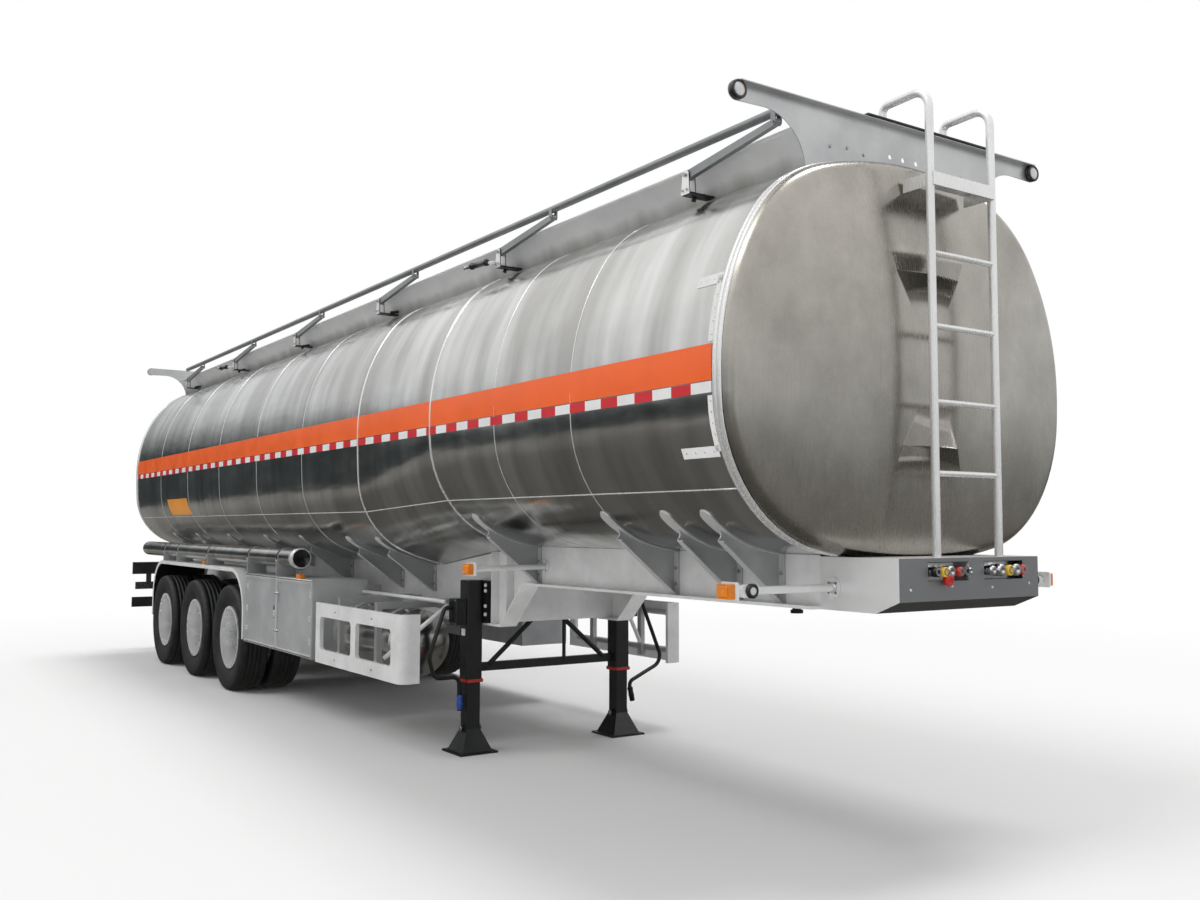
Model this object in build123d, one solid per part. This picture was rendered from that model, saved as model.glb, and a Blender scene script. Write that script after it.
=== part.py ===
from build123d import *
import os
from math import asin, atan2, cos, hypot, radians, sin, sqrt

os.makedirs("parts", exist_ok=True)

# Three-axle tank semi-trailer, parked on its landing legs. Millimetres.
# +X is forward, +Y is the vehicle's left, +Z is up, and the ground is Z 0.
# Places along the vehicle are stations, measured rearwards from the nose box's front face.

# Overall
bumper_station = 12600        # rear face of the bumper boards
coupling_reach = 50           # the service couplings stand this far in front of the nose box
vehicle_half = 1250           # half of the vehicle width
nose_x = (bumper_station + coupling_reach) / 2 - coupling_reach

# Fits
seat_gap = 0.3                # between a piece and the curved face that it lies on
running_gap = 6               # between a moving piece and what it passes
pin_gap = 0.3                 # round a hinge pin or spindle
past = 1                      # a cut goes this far past the face that it opens

# Heights, from the ground up
wheel_radius = 520
ride_height = 391             # from the axles to the underside of the rear beams
neck_rise = 312               # from there up to the underside of the front beams
belly_rise = 354              # from the rear beams' underside to the rear belly
belly_step = 185              # the front belly lies this much higher
belly_depth = 1085            # from the rear belly up to the widest point
crown_rise = 1135             # from the widest point up to the crown
rear_beam_z = wheel_radius + ride_height
front_beam_z = rear_beam_z + neck_rise
rear_floor_z = rear_beam_z + belly_rise
front_floor_z = rear_floor_z + belly_step
wide_z = rear_floor_z + belly_depth
crown_z = wide_z + crown_rise

# Tank section: radii of the crown or belly, of the corners and of the sides
upper_arcs = (2250, crown_rise - 415, crown_rise + 215)
front_lower_arcs = (3360, wide_z - front_floor_z - 160, 6000)
rear_lower_arcs = (2220, belly_depth - 445, 6000)

# Tank stations
head_station = 400            # front head ring
cone_station = 3390           # front end of the cone
drop_station = 4650           # rear end of the cone
tail_station = 12200          # rear head ring
head_depth = 185
dish_radius = 6500
knuckle_radius = 60
rim_width = 26                # bright flange round each head
rim_height = 7

# Trough on top of the tank
plate_thickness = 5           # end plates and coaming
wing_tip_y = vehicle_half - 131         # centre of the rounded tip
wing_tip_z = crown_z + 183
wing_tip_radius = 46
wing_fold = 40                # folded rim along the top edge
wing_sink = 60                # the plates' blanks reach this far into the tank before they are cut
sweep_y = vehicle_half - 310  # centre of the concave edge
sweep_z = crown_z - 128
sweep_radius = 270
wing_hole_radius = 13
wing_holes = (-64, 35, 137)   # Y
wing_hole_z = crown_z + 62
front_wing_station = head_station + 12
rear_wing_station = tail_station - 50
coaming_angle = 48            # the coaming follows the concave edge up to this angle
coaming_foot = 50             # flat foot outside the wall
coaming_bead = 10             # radius of the rolled top edge

# Handrail
rail_y = 425 - vehicle_half
rail_radius = 23
post_count = 6
post_spacing = 2060
post_station = 1133           # lower pin of the first post
post_pin_z = crown_z + 15
post_length = 686
post_angle = 7.4              # above level when folded down
post_width = 30
post_foot_radius = 24
post_tip_radius = 17
post_pin_radius = 7
pin_head = 5                  # a handrail pin stands this far out of its cheeks
rail_drop = 52                # rail centre above the upper pins
rail_front_reach = 18
rail_rear_reach = 720
rail_lug = 16                 # half length of the rail's lugs
cheek_thickness = 6
cheek_gap = 2                 # between a cheek and the post's side
cheek_front = 34              # cheek foot in front of the pin
cheek_rear = 40
cheek_drop = 96               # from the pin to the bracket's floor
cheek_radius = 26             # round top of a cheek
bracket_floor = 10

# Manholes and walkway
manhole_stations = (2050, 6100, 9700)
manhole_radius = 280
manhole_bore = 225
manhole_height = 70
manhole_sink = 20             # the collars' blanks reach this far into the tank before they are cut
lid_thickness = 14
lid_radius = 262
lid_edge_gap = 4
lid_seat_gap = 0.5
lid_boss_radius = 118
lid_boss_height = 22
lid_hinge_x = 300             # hinge line behind the manhole's centre
lid_hinge_radius = 12
lid_hinge_lift = 4            # the hinge eye's underside above the collar
lid_arm_half = 50
lid_ear_y = 70                # middle of a hinge ear
lid_ear_thickness = 16
walk_inner_y = 330
walk_width = 240
walk_thickness = 4
walk_height = 26              # walking face above the tank crown
walk_inner_leg = 90
walk_outer_leg = 140
walk_inset = 300              # from each end plate

# Frame
beam_half = 515               # outer face of each beam web
web_thickness = 8
flange_width = 140
flange_thickness = 16
neck_front_station = cone_station - 100
neck_rear_station = cone_station + 220
beam_front_station = 500
beam_rear_station = bumper_station - 100
tail_beam_height = 230        # height of the beam ends behind the tank
tail_gap = 40                 # the high part of the beams ends this far in front of the rear head
tail_ramp = 200
cross_thickness = 8
cross_flange = 60
neck_ribs = (234, 450)        # web ribs, behind the neck's front corner
neck_rib_depth = 60
neck_rib_thickness = 8
beam_mid = beam_half - web_thickness / 2

# Nose box and coupling
box_half = beam_half + 1
box_top_z = front_beam_z + 258
box_lip_z = front_beam_z + 58           # lower edge of the front face
box_slope = 142               # length of the sloping underside
box_wall = 6
box_roof_length = 288
slot_height = 90
slot_z = box_top_z - 64
slots = ((-318, -20), (90, 398))        # from y, to y
shelf_span = (-345, 425)
shelf_depth = 60
shelf_thickness = 8
shelf_drop = 50               # the shelf's underside below the couplings
shelf_rise = 40               # its back plate's top above them
shelf_lip = 14
coupling_stub = 0.7           # radii and lengths of a coupling's steps, as shares of its own
coupling_face = 0.84
coupling_bore = 0.5
coupling_neck = 0.35
coupling_body = 0.8
coupling_recess = 12
coupler_rear_station = 1900
coupler_thickness = 10
coupler_rib_height = 120
coupler_ribs = (-230, 0, 230)           # Y
kingpin_station = 1200
kingpin_head_radius = 35.75
kingpin_neck_radius = 25.4
kingpin_collar_radius = 36.5
kingpin_head = 19
kingpin_neck = 35
kingpin_collar = 30

# Marker arms: base station, tip station, height, face that carries the base
marker_arms = ((407, 426, front_beam_z + 109, box_half), (3090, 2940, front_beam_z + 131, beam_half))
marker_tip_y = vehicle_half - 50
marker_lamp_depth = 36
marker_lamp_length = 90
marker_lamp_height = 68
marker_arm_radius = 19
marker_flange_radius = 48
marker_flange = 10

# Landing gear
leg_station = neck_rear_station + 290
leg_y = beam_half + 140
leg_top_z = front_beam_z + 12
leg_outer = 125
leg_corner = 12               # rounded corners of the leg tubes
leg_outer_foot_z = 500
leg_inner = 105
leg_roof = 60                 # solid top of the outer tube
leg_head_gap = 40             # over the inner tube's end
leg_wear_gap = 0.5            # between the two tubes
leg_band = 26                 # collar round the outer tube's foot
leg_band_thickness = 5
foot_height = 130
foot_size = 300
foot_plate = 14
foot_skirt_inset = 30
foot_skirt_rise = 40          # the skirt reaches this far up the inner tube
foot_lug_radius = 34
foot_lug_thickness = 12
foot_pin_radius = 13
leg_bracket_height = 300
leg_bracket_reach = 60        # the bracket's plate in front of and behind the leg
leg_bracket_wall = 8
gearbox_size = (110, 90, 190)
gearbox_drop = 130            # from the leg's top to the gearbox's top
crank_radius = 15
crank_grip_radius = 20
crank_grip = 110
brace_z = leg_outer_foot_z + 100
brace_apex_z = rear_beam_z + 119
brace_width = 60
brace_depth = 50
brace_front = 6               # in front of the middle of the legs
brace_post = 20
brace_post_y = 147
brace_post_drop = 120         # the post's top below the apex
brace_cap = 90
brace_cap_drop = 60
tie_height = 60
tie_half = 12
strut_radius = 18
strut_inset = 90              # the struts' low ends inside the bar's ends

# Crank handles, as Y from the vehicle's middle and Z: folded beside each leg, not quite alike
right_crank = (
    (leg_y + 145, 1040), (leg_y + 215, 1040), (leg_y + 335, 690), (leg_y + 290, 540), (leg_y + 95, 540), (leg_y + 85, 300),
)
left_crank = ((leg_y + 145, 1040), (leg_y + 225, 1040), (leg_y + 440, 540), (leg_y + 105, 395), (leg_y + 140, 245))
right_bends = (30, 90, 70, 50)           # bend radii
left_bends = (30, 90, 50)

# Along the sides, from the legs rearwards
reservoir_leg_gap = 330       # from the middle of the legs to the reservoir
reservoir_length = 1250
cabinet_gap = 108             # between the reservoir and the cabinets
cabinet_length = 1844
arch_gap = 20                 # between the cabinets and the mudguards
arch_wheel_gap = 24           # between a mudguard's front edge and the first tyre
reservoir_front_station = leg_station + reservoir_leg_gap
cabinet_front_station = reservoir_front_station + reservoir_length + cabinet_gap
cabinet_rear_station = cabinet_front_station + cabinet_length
arch_front_station = cabinet_rear_station + arch_gap

# Discharge pipes, evenly spread between the ends of the cabinets
pipe_count = 5
pipe_front_inset = 152
pipe_rear_inset = 452
pipe_pitch = (cabinet_length - pipe_front_inset - pipe_rear_inset) / (pipe_count - 1)
pipe_front_station = cabinet_front_station + pipe_front_inset

# Cross members: station and height; one stands between the second and third pipe
pipe_cross_station = pipe_front_station + pipe_pitch * 3 / 2
front_cross_members = ((2300, 181), (3180, 181))
rear_cross_members = (
    (3760, 323), (5000, 273), (pipe_cross_station, 273), (7396, 273),
    (8651, 273), (9961, 273), (11216, 273), (12300, 193),
)

# Running gear
axle_station = arch_front_station + arch_wheel_gap + wheel_radius
axle_spacing = 1310
axle_count = 3
wheel_face_y = vehicle_half - 4         # outer sidewall of the outer tyre
tyre_width = 276
twin_spacing = 330
bead_radius = 292
bead_half = 100               # half width over the tyre's beads
shoulder_inset = 14
tread_inset = 26              # from the shoulder to the edge of the tread
shoulder_drop = 16
bead_heel = 4
bulge_rise = 98               # from the heel to the widest point of the sidewall
rim_flange = 13
rim_flange_height = 16
rim_wall = 9
disc_thickness = 14
disc_radius = 190             # flat middle of the disc
disc_bore = 82
disc_dish = 62                # the disc's edge stands this far outside its middle
hand_holes = 10
hand_hole_radius = 26
hand_hole_circle = 196
hub_radius = 112
hub_cap_radius = 82
hub_cap_start = 60            # from the joint of the two wheels
hub_cap_bevel = 30
hub_reach = 150               # hub cap beyond the joint of the two wheels
hub_cap_round = 15
hub_cap_wall = 20
drum_radius = 212
drum_length = 230
drum_bevel = 12
drum_gap = 20                 # between the drum and the inner wheel's disc
axle_radius = 64
axle_end_gap = 8              # between the axle beam and the drum
spindle_radius = 45
axle_seat_height = 36
axle_seat_half = 90

# Springs and hangers
spring_y = beam_mid
spring_width = 90
spring_leaf = 15
spring_leaves = 3
spring_half_length = 560
spring_rise = 60
spring_first_share = 0.62     # the shortest leaf's length as a share of the longest
spring_plate = 16
hanger_thickness = 10
hanger_gap = 6                # between a hanger's cheek and the spring
hanger_half = 170
hanger_waist_half = 110
hanger_waist_drop = 230
hanger_foot_half = 60
hanger_foot_drop = 60
hanger_roof = 12
hanger_pin_radius = 17
rocker_half_length = 150
rocker_height = 40

# Mudguards
guard_inner_y = wheel_face_y - tyre_width - twin_spacing - 18
guard_outer_y = vehicle_half - 1
arch_top_z = rear_beam_z + 304
arch_foot_z = 545
arch_radius = 430
arch_thickness = 4
arch_lip = 34
arch_lip_thickness = 3
arch_arm = 40
arch_arm_inset = 20           # the arms end this far inside the mudguard's edge
arch_arm_stations = (453, 1199, 2509, 3255)       # behind the mudguard's front edge

# Valve cabinets
cabinet_bottom_z = 531
cabinet_top_z = rear_beam_z + 265
cabinet_outer_y = vehicle_half - 10
cabinet_inner_y = cabinet_outer_y - 480
cabinet_wall = 6
door_thickness = 24
door_gap = 6
door_hinge_radius = 8
door_pin_radius = 4
door_pin_length = 40
door_pin_inset = 3            # pin behind the leaf's edge
door_meeting = 2              # half of the gap between the two leaves
door_border = 34              # raised frame round each leaf's panel
door_pocket = 5
latch_inset = 62              # handle's middle from the leaf's free edge
latch_size = (16, 96)
latch_reach = 8
latch_rise = 150              # handle above the leaf's middle
strap_inset = 300
strap_length = 50
strap_height = 60
strap_drop = 60               # the straps' top below the cabinet's roof

# Side guards
guard_gap = 102               # between a guard and its cabinet
guard_rear_station = cabinet_front_station - guard_gap
guard_length = 1661
guard_front_station = guard_rear_station - guard_length
guard_bottom_z = 526
guard_top_z = 1007
guard_inset = 5
guard_thickness = 30
guard_return = 150
guard_corner = 70
guard_rail = 110              # height of the top and bottom rails
guard_post = 95
window_corner = 35
guard_arm_stations = (505, 1235)        # behind the guard's front edge
guard_arm = 50
guard_drop = 40               # depth of the posts behind the guard
guard_drop_rise = 20          # the posts' foot above the guard's lower edge
arm_low_z = rear_beam_z + 107           # underside of the arms that carry guards and reservoir
brace_drop = 60
brace_reach = 190

# Hose tube
tube_y = vehicle_half - 102
tube_z = arch_top_z + 130
tube_radius = 85
tube_wall = 7
tube_mouth = 562              # the tube's mouth behind the cabinet's front
tube_tail_gap = 380           # its closed end in front of the rear head
tube_front_station = cabinet_front_station + tube_mouth
tube_rear_station = tail_station - tube_tail_gap
tube_lid = 16
tube_lid_rim = 4
tube_hinge_rise = 14          # lid hinge above the tube
tube_hinge_inset = 10         # lid hinge behind the tube's mouth
tube_pin_radius = 4
tube_eye_radius = 9
tube_arm_half = 12
tube_ear = 10                 # thickness of a hinge ear
tube_ear_gap = 4
tube_ear_length = 24          # behind the hinge line
lid_arm_gap = 3               # the lid's arm above the tube
saddle_block = 40
tube_band = 4                 # thickness of the clamp bands
cabinet_saddles = (945, cabinet_length - 44)      # behind the cabinet's front
arch_saddles = (1357, 2627, 3238)       # behind the mudguard's front

# Outriggers: saddle pads on brackets outside the beams
saddle_width = 90
saddle_thickness = 8
saddle_reach = vehicle_half - 224       # outer end of a pad, from the middle
gusset_thickness = 8
gusset_reach = vehicle_half - 330
gusset_tip_drop = 75          # from the tank's skin to the tip of the sloping edge
gusset_toe = 20               # flat toe beside the web
gusset_lip = 40               # folded lip along the sloping edge
gusset_nose_radius = 30
root_plate = (46, 8)          # bolted foot along the web: length, thickness
front_saddles = (789, 1116, 1662, 3185)                       # stations
rear_saddles = (4811, 5424, 6560, 7579, 8827, 10101, 11145)
side_gusset_rise = 200        # foot of the gussets in front of the mudguards, above the beams' underside
arch_gusset_gap = 12          # foot of the others above the mudguards

# Reservoir
reservoir_radius = 250
reservoir_inset = 120         # from the vehicle's side
drum_y = reservoir_radius + reservoir_inset - vehicle_half
drum_z = arm_low_z - reservoir_radius - 12
reservoir_dish = 70
band_width = 50
band_thickness = 5
band_inset = 260
band_neck = 60

# Foot valves and the pipes from them to the right cabinet
pipe_radius = 54
pipe_bend = 110
pipe_beam_gap = 12            # between a pipe and the beams' underside
foot_valve_radius = 76
foot_valve_height = 110
foot_flange_radius = 104
foot_flange = 16
end_flange_radius = 84
end_flange = 12

# Ladder
ladder_station = 98
ladder_y = 102                # middle of the ladder
ladder_half = 237             # from the middle to a stile's centre
stile_radius = 21
ladder_hoop = 86              # the handles' top above the end plate
handle_bend = 95
handle_end_bend = 38
handle_fall = 10
handle_end_station = front_wing_station - 17
rung_rises = (405, 754, 1128, 1491)     # above the nose box
rung_radius = 15
step_z = crown_z - 180
step_height = 66
step_wall = 4
step_rear_station = head_station - head_depth + 47
step_front_station = ladder_station - 28
step_shift = 8                # the step lies this far to the right of the stiles

# Rear end
board_half = vehicle_half - 60
upper_board = (rear_beam_z + 74, rear_beam_z + 233)           # from z, to z
lower_board = (550, 680)
board_thickness = 40
bumper_arm = 80
lamp_height = 95
lamp_width = 330
lamp_depth = 45
lamp_inset = 40
lamp_bracket = 60
lamp_bracket_inset = 5

# Marker lamps on top of the cabinets and mudguards: station
side_marker_stations = (cabinet_front_station + 372, arch_front_station + 1488)
side_marker_size = (100, 40, 40)
side_marker_inset = 14
tip_lamp_inset = 6
tip_lamp_depth = 28


def station(along):
    return nose_x - along


def block(front, rear, low_y, high_y, low_z, high_z):
    size = (rear - front, high_y - low_y, high_z - low_z)
    middle = (station((front + rear) / 2), (low_y + high_y) / 2, (low_z + high_z) / 2)
    return Pos(*middle) * Box(*size)


# A block whose upright edges are rounded
def post_block(front, rear, low_y, high_y, low_z, high_z, corner):
    shape = block(front, rear, low_y, high_y, low_z, high_z)
    return fillet(shape.edges().filter_by(Axis.Z), corner)


def rod(start, end, radius):
    axis = Vector(*end) - Vector(*start)
    return Plane(origin=start, z_dir=axis) * Cylinder(
        radius, axis.length, align=(Align.CENTER, Align.CENTER, Align.MIN)
    )


# A rod across the vehicle, from one Y to another
def cross_rod(along, low_y, high_y, z, radius):
    return rod((station(along), low_y, z), (station(along), high_y, z), radius)


# A profile of stations and heights, drawn out across the vehicle
def side_profile(points, low_y, high_y):
    outline = Polyline(*[(station(s), 0, z) for s, z in points], close=True)
    face = make_face(outline)
    return Pos(0, low_y, 0) * extrude(face, high_y - low_y, dir=(0, 1, 0))


# A profile of Y and Z, drawn out rearwards from a station
def slab(face, front, rear):
    return Pos(station(rear), 0, 0) * extrude(face, rear - front, dir=(1, 0, 0))


# A round bar that follows points with a bend at each inner one
def bent_bar(points, bends, radius):
    path = FilletPolyline(*points, radius=bends)
    return sweep(Plane(origin=path @ 0, z_dir=path % 0) * Circle(radius), path)


def mirrored(shape):
    return mirror(shape, about=Plane.XZ)


def pair(shape):
    return [shape, mirrored(shape)]


def save(name, *shapes):
    solids = [solid for shape in shapes for solid in shape.solids()]
    export_step(Compound(children=solids), f"parts/{name}.step")


# Centre of the corner arc that touches the crown arc and the side arc
def corner_centre(arcs, half, end_z, up):
    crown, corner, side = arcs
    crown_mid = (0, end_z - up * crown)
    side_mid = (half - side, wide_z)
    dy, dz = side_mid[0] - crown_mid[0], side_mid[1] - crown_mid[1]
    apart = hypot(dy, dz)
    along = ((crown - corner) ** 2 - (side - corner) ** 2 + apart**2) / (2 * apart)
    across = sqrt((crown - corner) ** 2 - along**2)
    picks = []
    for turn in (1, -1):
        y = crown_mid[0] + (along * dy - turn * across * dz) / apart
        z = crown_mid[1] + (along * dz + turn * across * dy) / apart
        picks.append((y, z))
    return max(picks), crown_mid, side_mid


# The point where an arc about one centre meets the arc about another
def tangent_point(centre, other, radius):
    dy, dz = centre[0] - other[0], centre[1] - other[1]
    apart = hypot(dy, dz)
    return centre[0] + dy / apart * radius, centre[1] + dz / apart * radius


# The arcs of one quarter, from the crown to the widest point: (from, middle, to)
def quarter(arcs, half, end_z, up, grow):
    centre, crown_mid, side_mid = corner_centre(arcs, half, end_z, up)
    crown, corner, side = arcs
    first = tangent_point(centre, crown_mid, corner + grow)
    second = tangent_point(centre, side_mid, corner + grow)
    between = atan2(first[1] - centre[1], first[0] - centre[0])
    between += atan2(second[1] - centre[1], second[0] - centre[0])
    reach = corner + grow
    corner_mid = (centre[0] + reach * cos(between / 2), centre[1] + reach * sin(between / 2))
    rise = asin((second[1] - wide_z) / (side + grow)) / 2
    side_point = (side_mid[0] + (side + grow) * cos(rise), wide_z + (side + grow) * sin(rise))
    return first, corner_mid, second, side_point


# The tank's outline in Y and Z, grown outwards by a distance
def tank_face(lower_arcs, floor_z, grow=0):
    top = quarter(upper_arcs, vehicle_half, crown_z, 1, grow)
    low = quarter(lower_arcs, vehicle_half, floor_z, -1, grow)
    wide = (vehicle_half + grow, wide_z)

    def place(point, side):
        return (0, side * point[0], point[1])

    edges = [ThreePointArc(place(top[0], -1), (0, 0, crown_z + grow), place(top[0], 1))]
    for side in (1, -1):
        edges += [
            ThreePointArc(place(top[0], side), place(top[1], side), place(top[2], side)),
            ThreePointArc(place(top[2], side), place(top[3], side), place(wide, side)),
            ThreePointArc(place(wide, side), place(low[3], side), place(low[2], side)),
            ThreePointArc(place(low[2], side), place(low[1], side), place(low[0], side)),
        ]
    edges.append(ThreePointArc(place(low[0], 1), (0, 0, floor_z - grow), place(low[0], -1)))
    return make_face(Wire(edges))


def front_face(grow=0):
    return tank_face(front_lower_arcs, front_floor_z, grow)


def rear_face(grow=0):
    return tank_face(rear_lower_arcs, rear_floor_z, grow)


# Height of the crown arc or of a belly arc at a distance from the middle
def crown_height(y):
    return crown_z - upper_arcs[0] + sqrt(upper_arcs[0] ** 2 - y**2)


def belly_height(y, arcs, floor_z):
    return floor_z + arcs[0] - sqrt(arcs[0] ** 2 - y**2)


# Height of the lower corner arc at a distance from the middle
def corner_height(y, arcs, floor_z):
    centre = corner_centre(arcs, vehicle_half, floor_z, -1)[0]
    return centre[1] - sqrt(arcs[1] ** 2 - (y - centre[0]) ** 2)


# Tank
def dished_head(face, ring_station, floor_z, forward):
    middle_z = (crown_z + floor_z) / 2
    outer = ring_station - forward * head_depth
    head = slab(face(0), min(ring_station, outer), max(ring_station, outer))
    centre = station(outer) - forward * dish_radius
    head = head & (Pos(centre, 0, middle_z) * Sphere(dish_radius))
    dish = head.faces().filter_by(GeomType.SPHERE)[0]
    head = fillet(dish.edges(), knuckle_radius)
    rim_end = ring_station - forward * rim_width
    rim = slab(face(rim_height), min(ring_station, rim_end), max(ring_station, rim_end))
    return head + rim


def make_tank():
    heads = [
        dished_head(front_face, head_station, front_floor_z, 1),
        dished_head(rear_face, tail_station, rear_floor_z, -1),
    ]
    save("tank_heads", *heads)
    save("tank_front_barrel", slab(front_face(), head_station, cone_station))
    cone_front = Pos(station(cone_station), 0, 0) * front_face()
    cone_rear = Pos(station(drop_station), 0, 0) * rear_face()
    save("tank_cone", loft([cone_front, cone_rear], ruled=True))
    save("tank_rear_barrel", slab(rear_face(), drop_station, tail_station))


# The end plates' outline: straight top, round tips, concave edges down to the tank
def wing_face():
    inner_y = sweep_y - sweep_radius
    foot = crown_height(inner_y) - wing_sink
    middle = radians(45)
    top = wing_tip_z + wing_tip_radius
    edges = []
    for side in (1, -1):
        inner = (0, side * inner_y, foot)
        bend = (0, side * inner_y, sweep_z)
        arc_y = side * (sweep_y - sweep_radius * cos(middle))
        arc_mid = (0, arc_y, sweep_z + sweep_radius * sin(middle))
        arc_end = (0, side * sweep_y, sweep_z + sweep_radius)
        low = (0, side * wing_tip_y, wing_tip_z - wing_tip_radius)
        out = (0, side * (wing_tip_y + wing_tip_radius), wing_tip_z)
        high = (0, side * wing_tip_y, top)
        edges += [Line(inner, bend), ThreePointArc(bend, arc_mid, arc_end), Line(arc_end, low)]
        edges.append(ThreePointArc(low, out, high))
    edges.append(Line((0, -wing_tip_y, top), (0, wing_tip_y, top)))
    edges.append(Line((0, -inner_y, foot), (0, inner_y, foot)))
    return make_face(Wire(edges))


def wing_plate(front, face, forward):
    rear = front + plate_thickness
    plate = slab(wing_face(), front, rear)
    plate = plate - slab(face(seat_gap), front - past, rear + past)
    top = wing_tip_z + wing_tip_radius
    fold_front = front - wing_fold if forward else front
    fold_rear = fold_front + wing_fold + plate_thickness
    plate = plate + block(fold_front, fold_rear, -wing_tip_y, wing_tip_y, top - plate_thickness, top)
    for y in wing_holes:
        start, end = (station(front - past), y, wing_hole_z), (station(rear + past), y, wing_hole_z)
        plate = plate - rod(start, end, wing_hole_radius)
    return plate


def make_wing_plates():
    front = wing_plate(front_wing_station, front_face, True)
    rear = wing_plate(rear_wing_station, rear_face, False)
    save("wing_plates", front, rear)


# One coaming wall: a sheet that continues the end plates' sweep, with a bead and a flat toe
def coaming_wall(side):
    outer_radius = sweep_radius + plate_thickness
    foot_y = sweep_y - sweep_radius
    toe_y = foot_y + coaming_foot
    angle = radians(coaming_angle)
    low_z = crown_height(toe_y) - plate_thickness
    front = front_wing_station + plate_thickness + seat_gap
    rear = rear_wing_station - seat_gap

    def point(radius, turn):
        return (0, side * (sweep_y - radius * cos(turn)), sweep_z + radius * sin(turn))

    inner_foot = (0, side * (foot_y - plate_thickness), low_z)
    outer_foot = (0, side * foot_y, low_z)
    edges = [
        Line(outer_foot, point(sweep_radius, 0)),
        ThreePointArc(point(sweep_radius, 0), point(sweep_radius, angle / 2), point(sweep_radius, angle)),
        Line(point(sweep_radius, angle), point(outer_radius, angle)),
        ThreePointArc(point(outer_radius, angle), point(outer_radius, angle / 2), point(outer_radius, 0)),
        Line(point(outer_radius, 0), inner_foot),
        Line(inner_foot, outer_foot),
    ]
    toe_rise = 2 * plate_thickness
    toe = Polyline(
        (0, side * foot_y, crown_height(foot_y) + toe_rise),
        (0, side * toe_y, crown_height(toe_y) + toe_rise),
        (0, side * toe_y, low_z - plate_thickness),
        (0, side * foot_y, low_z - plate_thickness),
        close=True,
    )
    mid = point(sweep_radius + plate_thickness / 2, angle)
    toe_limit = slab(front_face(plate_thickness + seat_gap), front, rear)
    toe_slab = slab(make_face(toe), front, rear) & toe_limit
    bead = rod((station(front), mid[1], mid[2]), (station(rear), mid[1], mid[2]), coaming_bead)
    wall = slab(make_face(Wire(edges)), front, rear) + toe_slab + bead
    return wall - slab(front_face(seat_gap), front - past, rear + past)


def make_coaming():
    save("coaming", coaming_wall(1), coaming_wall(-1))


def make_walkway():
    front = front_wing_station + walk_inset
    rear = rear_wing_station - walk_inset
    top = crown_z + walk_height
    inner, outer = walk_inner_y, walk_inner_y + walk_width
    tread = block(front, rear, inner, outer, top - walk_thickness, top)
    inner_leg = block(front, rear, inner, inner + walk_thickness, top - walk_inner_leg, top)
    outer_leg = block(front, rear, outer - walk_thickness, outer, top - walk_outer_leg, top)
    strip = tread + inner_leg + outer_leg - slab(front_face(seat_gap), front - past, rear + past)
    save("walkway", *pair(strip))


def standing_cylinder(x, z, radius, height):
    return Pos(x, 0, z) * Cylinder(radius, height, align=(Align.CENTER, Align.CENTER, Align.MIN))


def make_manholes():
    collars = []
    collar_top = crown_z + manhole_height
    base = crown_height(manhole_radius) - manhole_sink
    ear_half = lid_ear_thickness / 2
    pin_radius = lid_hinge_radius / 2
    pin_z = collar_top + lid_hinge_lift + lid_hinge_radius
    for number, along in enumerate(manhole_stations, 1):
        x = station(along)
        tube = standing_cylinder(x, base, manhole_radius, collar_top - base)
        bore = standing_cylinder(x, base - past, manhole_bore, collar_top - base + 2 * past)
        seat = slab(front_face(seat_gap), along - 2 * manhole_bore, along + 2 * manhole_bore)
        collar = tube - bore - seat
        hinge = along + lid_hinge_x
        for y in (-lid_ear_y, lid_ear_y):
            collar = collar + block(
                along + lid_radius + lid_edge_gap, hinge + lid_ear_thickness, y - ear_half, y + ear_half,
                crown_z + manhole_height / 2, pin_z + lid_hinge_radius,
            )
        pin_end = lid_ear_y + lid_ear_thickness
        collars.append(collar + cross_rod(hinge, -pin_end, pin_end, pin_z, pin_radius))
        lid_z = collar_top + lid_seat_gap
        plate = standing_cylinder(x, lid_z, lid_radius, lid_thickness)
        boss = standing_cylinder(x, lid_z + lid_thickness, lid_boss_radius, lid_boss_height)
        arm_z = collar_top + lid_hinge_lift
        arm_front = along + lid_boss_radius
        arm = block(arm_front, hinge, -lid_arm_half, lid_arm_half, arm_z, arm_z + 2 * lid_hinge_radius)
        eye = cross_rod(hinge, -lid_arm_half, lid_arm_half, pin_z, lid_hinge_radius)
        hole = cross_rod(hinge, -lid_arm_half - past, lid_arm_half + past, pin_z, pin_radius + pin_gap)
        save(f"manhole_lid_{number}", plate + boss + arm + eye - hole)
    save("manhole_collars", *collars)


# Folding handrail
def post_shape(along):
    angle = radians(post_angle)
    tip = (along - post_length * cos(angle), post_pin_z + post_length * sin(angle))
    low_y, high_y = rail_y - post_width / 2, rail_y + post_width / 2
    foot = cross_rod(along, low_y, high_y, post_pin_z, post_foot_radius)
    head = cross_rod(tip[0], low_y, high_y, tip[1], post_tip_radius)
    across = (sin(angle), cos(angle))
    web = side_profile(
        [
            (along + across[0] * post_foot_radius, post_pin_z + across[1] * post_foot_radius),
            (tip[0] + across[0] * post_tip_radius, tip[1] + across[1] * post_tip_radius),
            (tip[0] - across[0] * post_tip_radius, tip[1] - across[1] * post_tip_radius),
            (along - across[0] * post_foot_radius, post_pin_z - across[1] * post_foot_radius),
        ],
        low_y, high_y,
    )
    bore = post_pin_radius + pin_gap
    foot_bore = cross_rod(along, low_y - past, high_y + past, post_pin_z, bore)
    tip_bore = cross_rod(tip[0], low_y - past, high_y + past, tip[1], bore)
    return web + foot + head - foot_bore - tip_bore, tip


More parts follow.
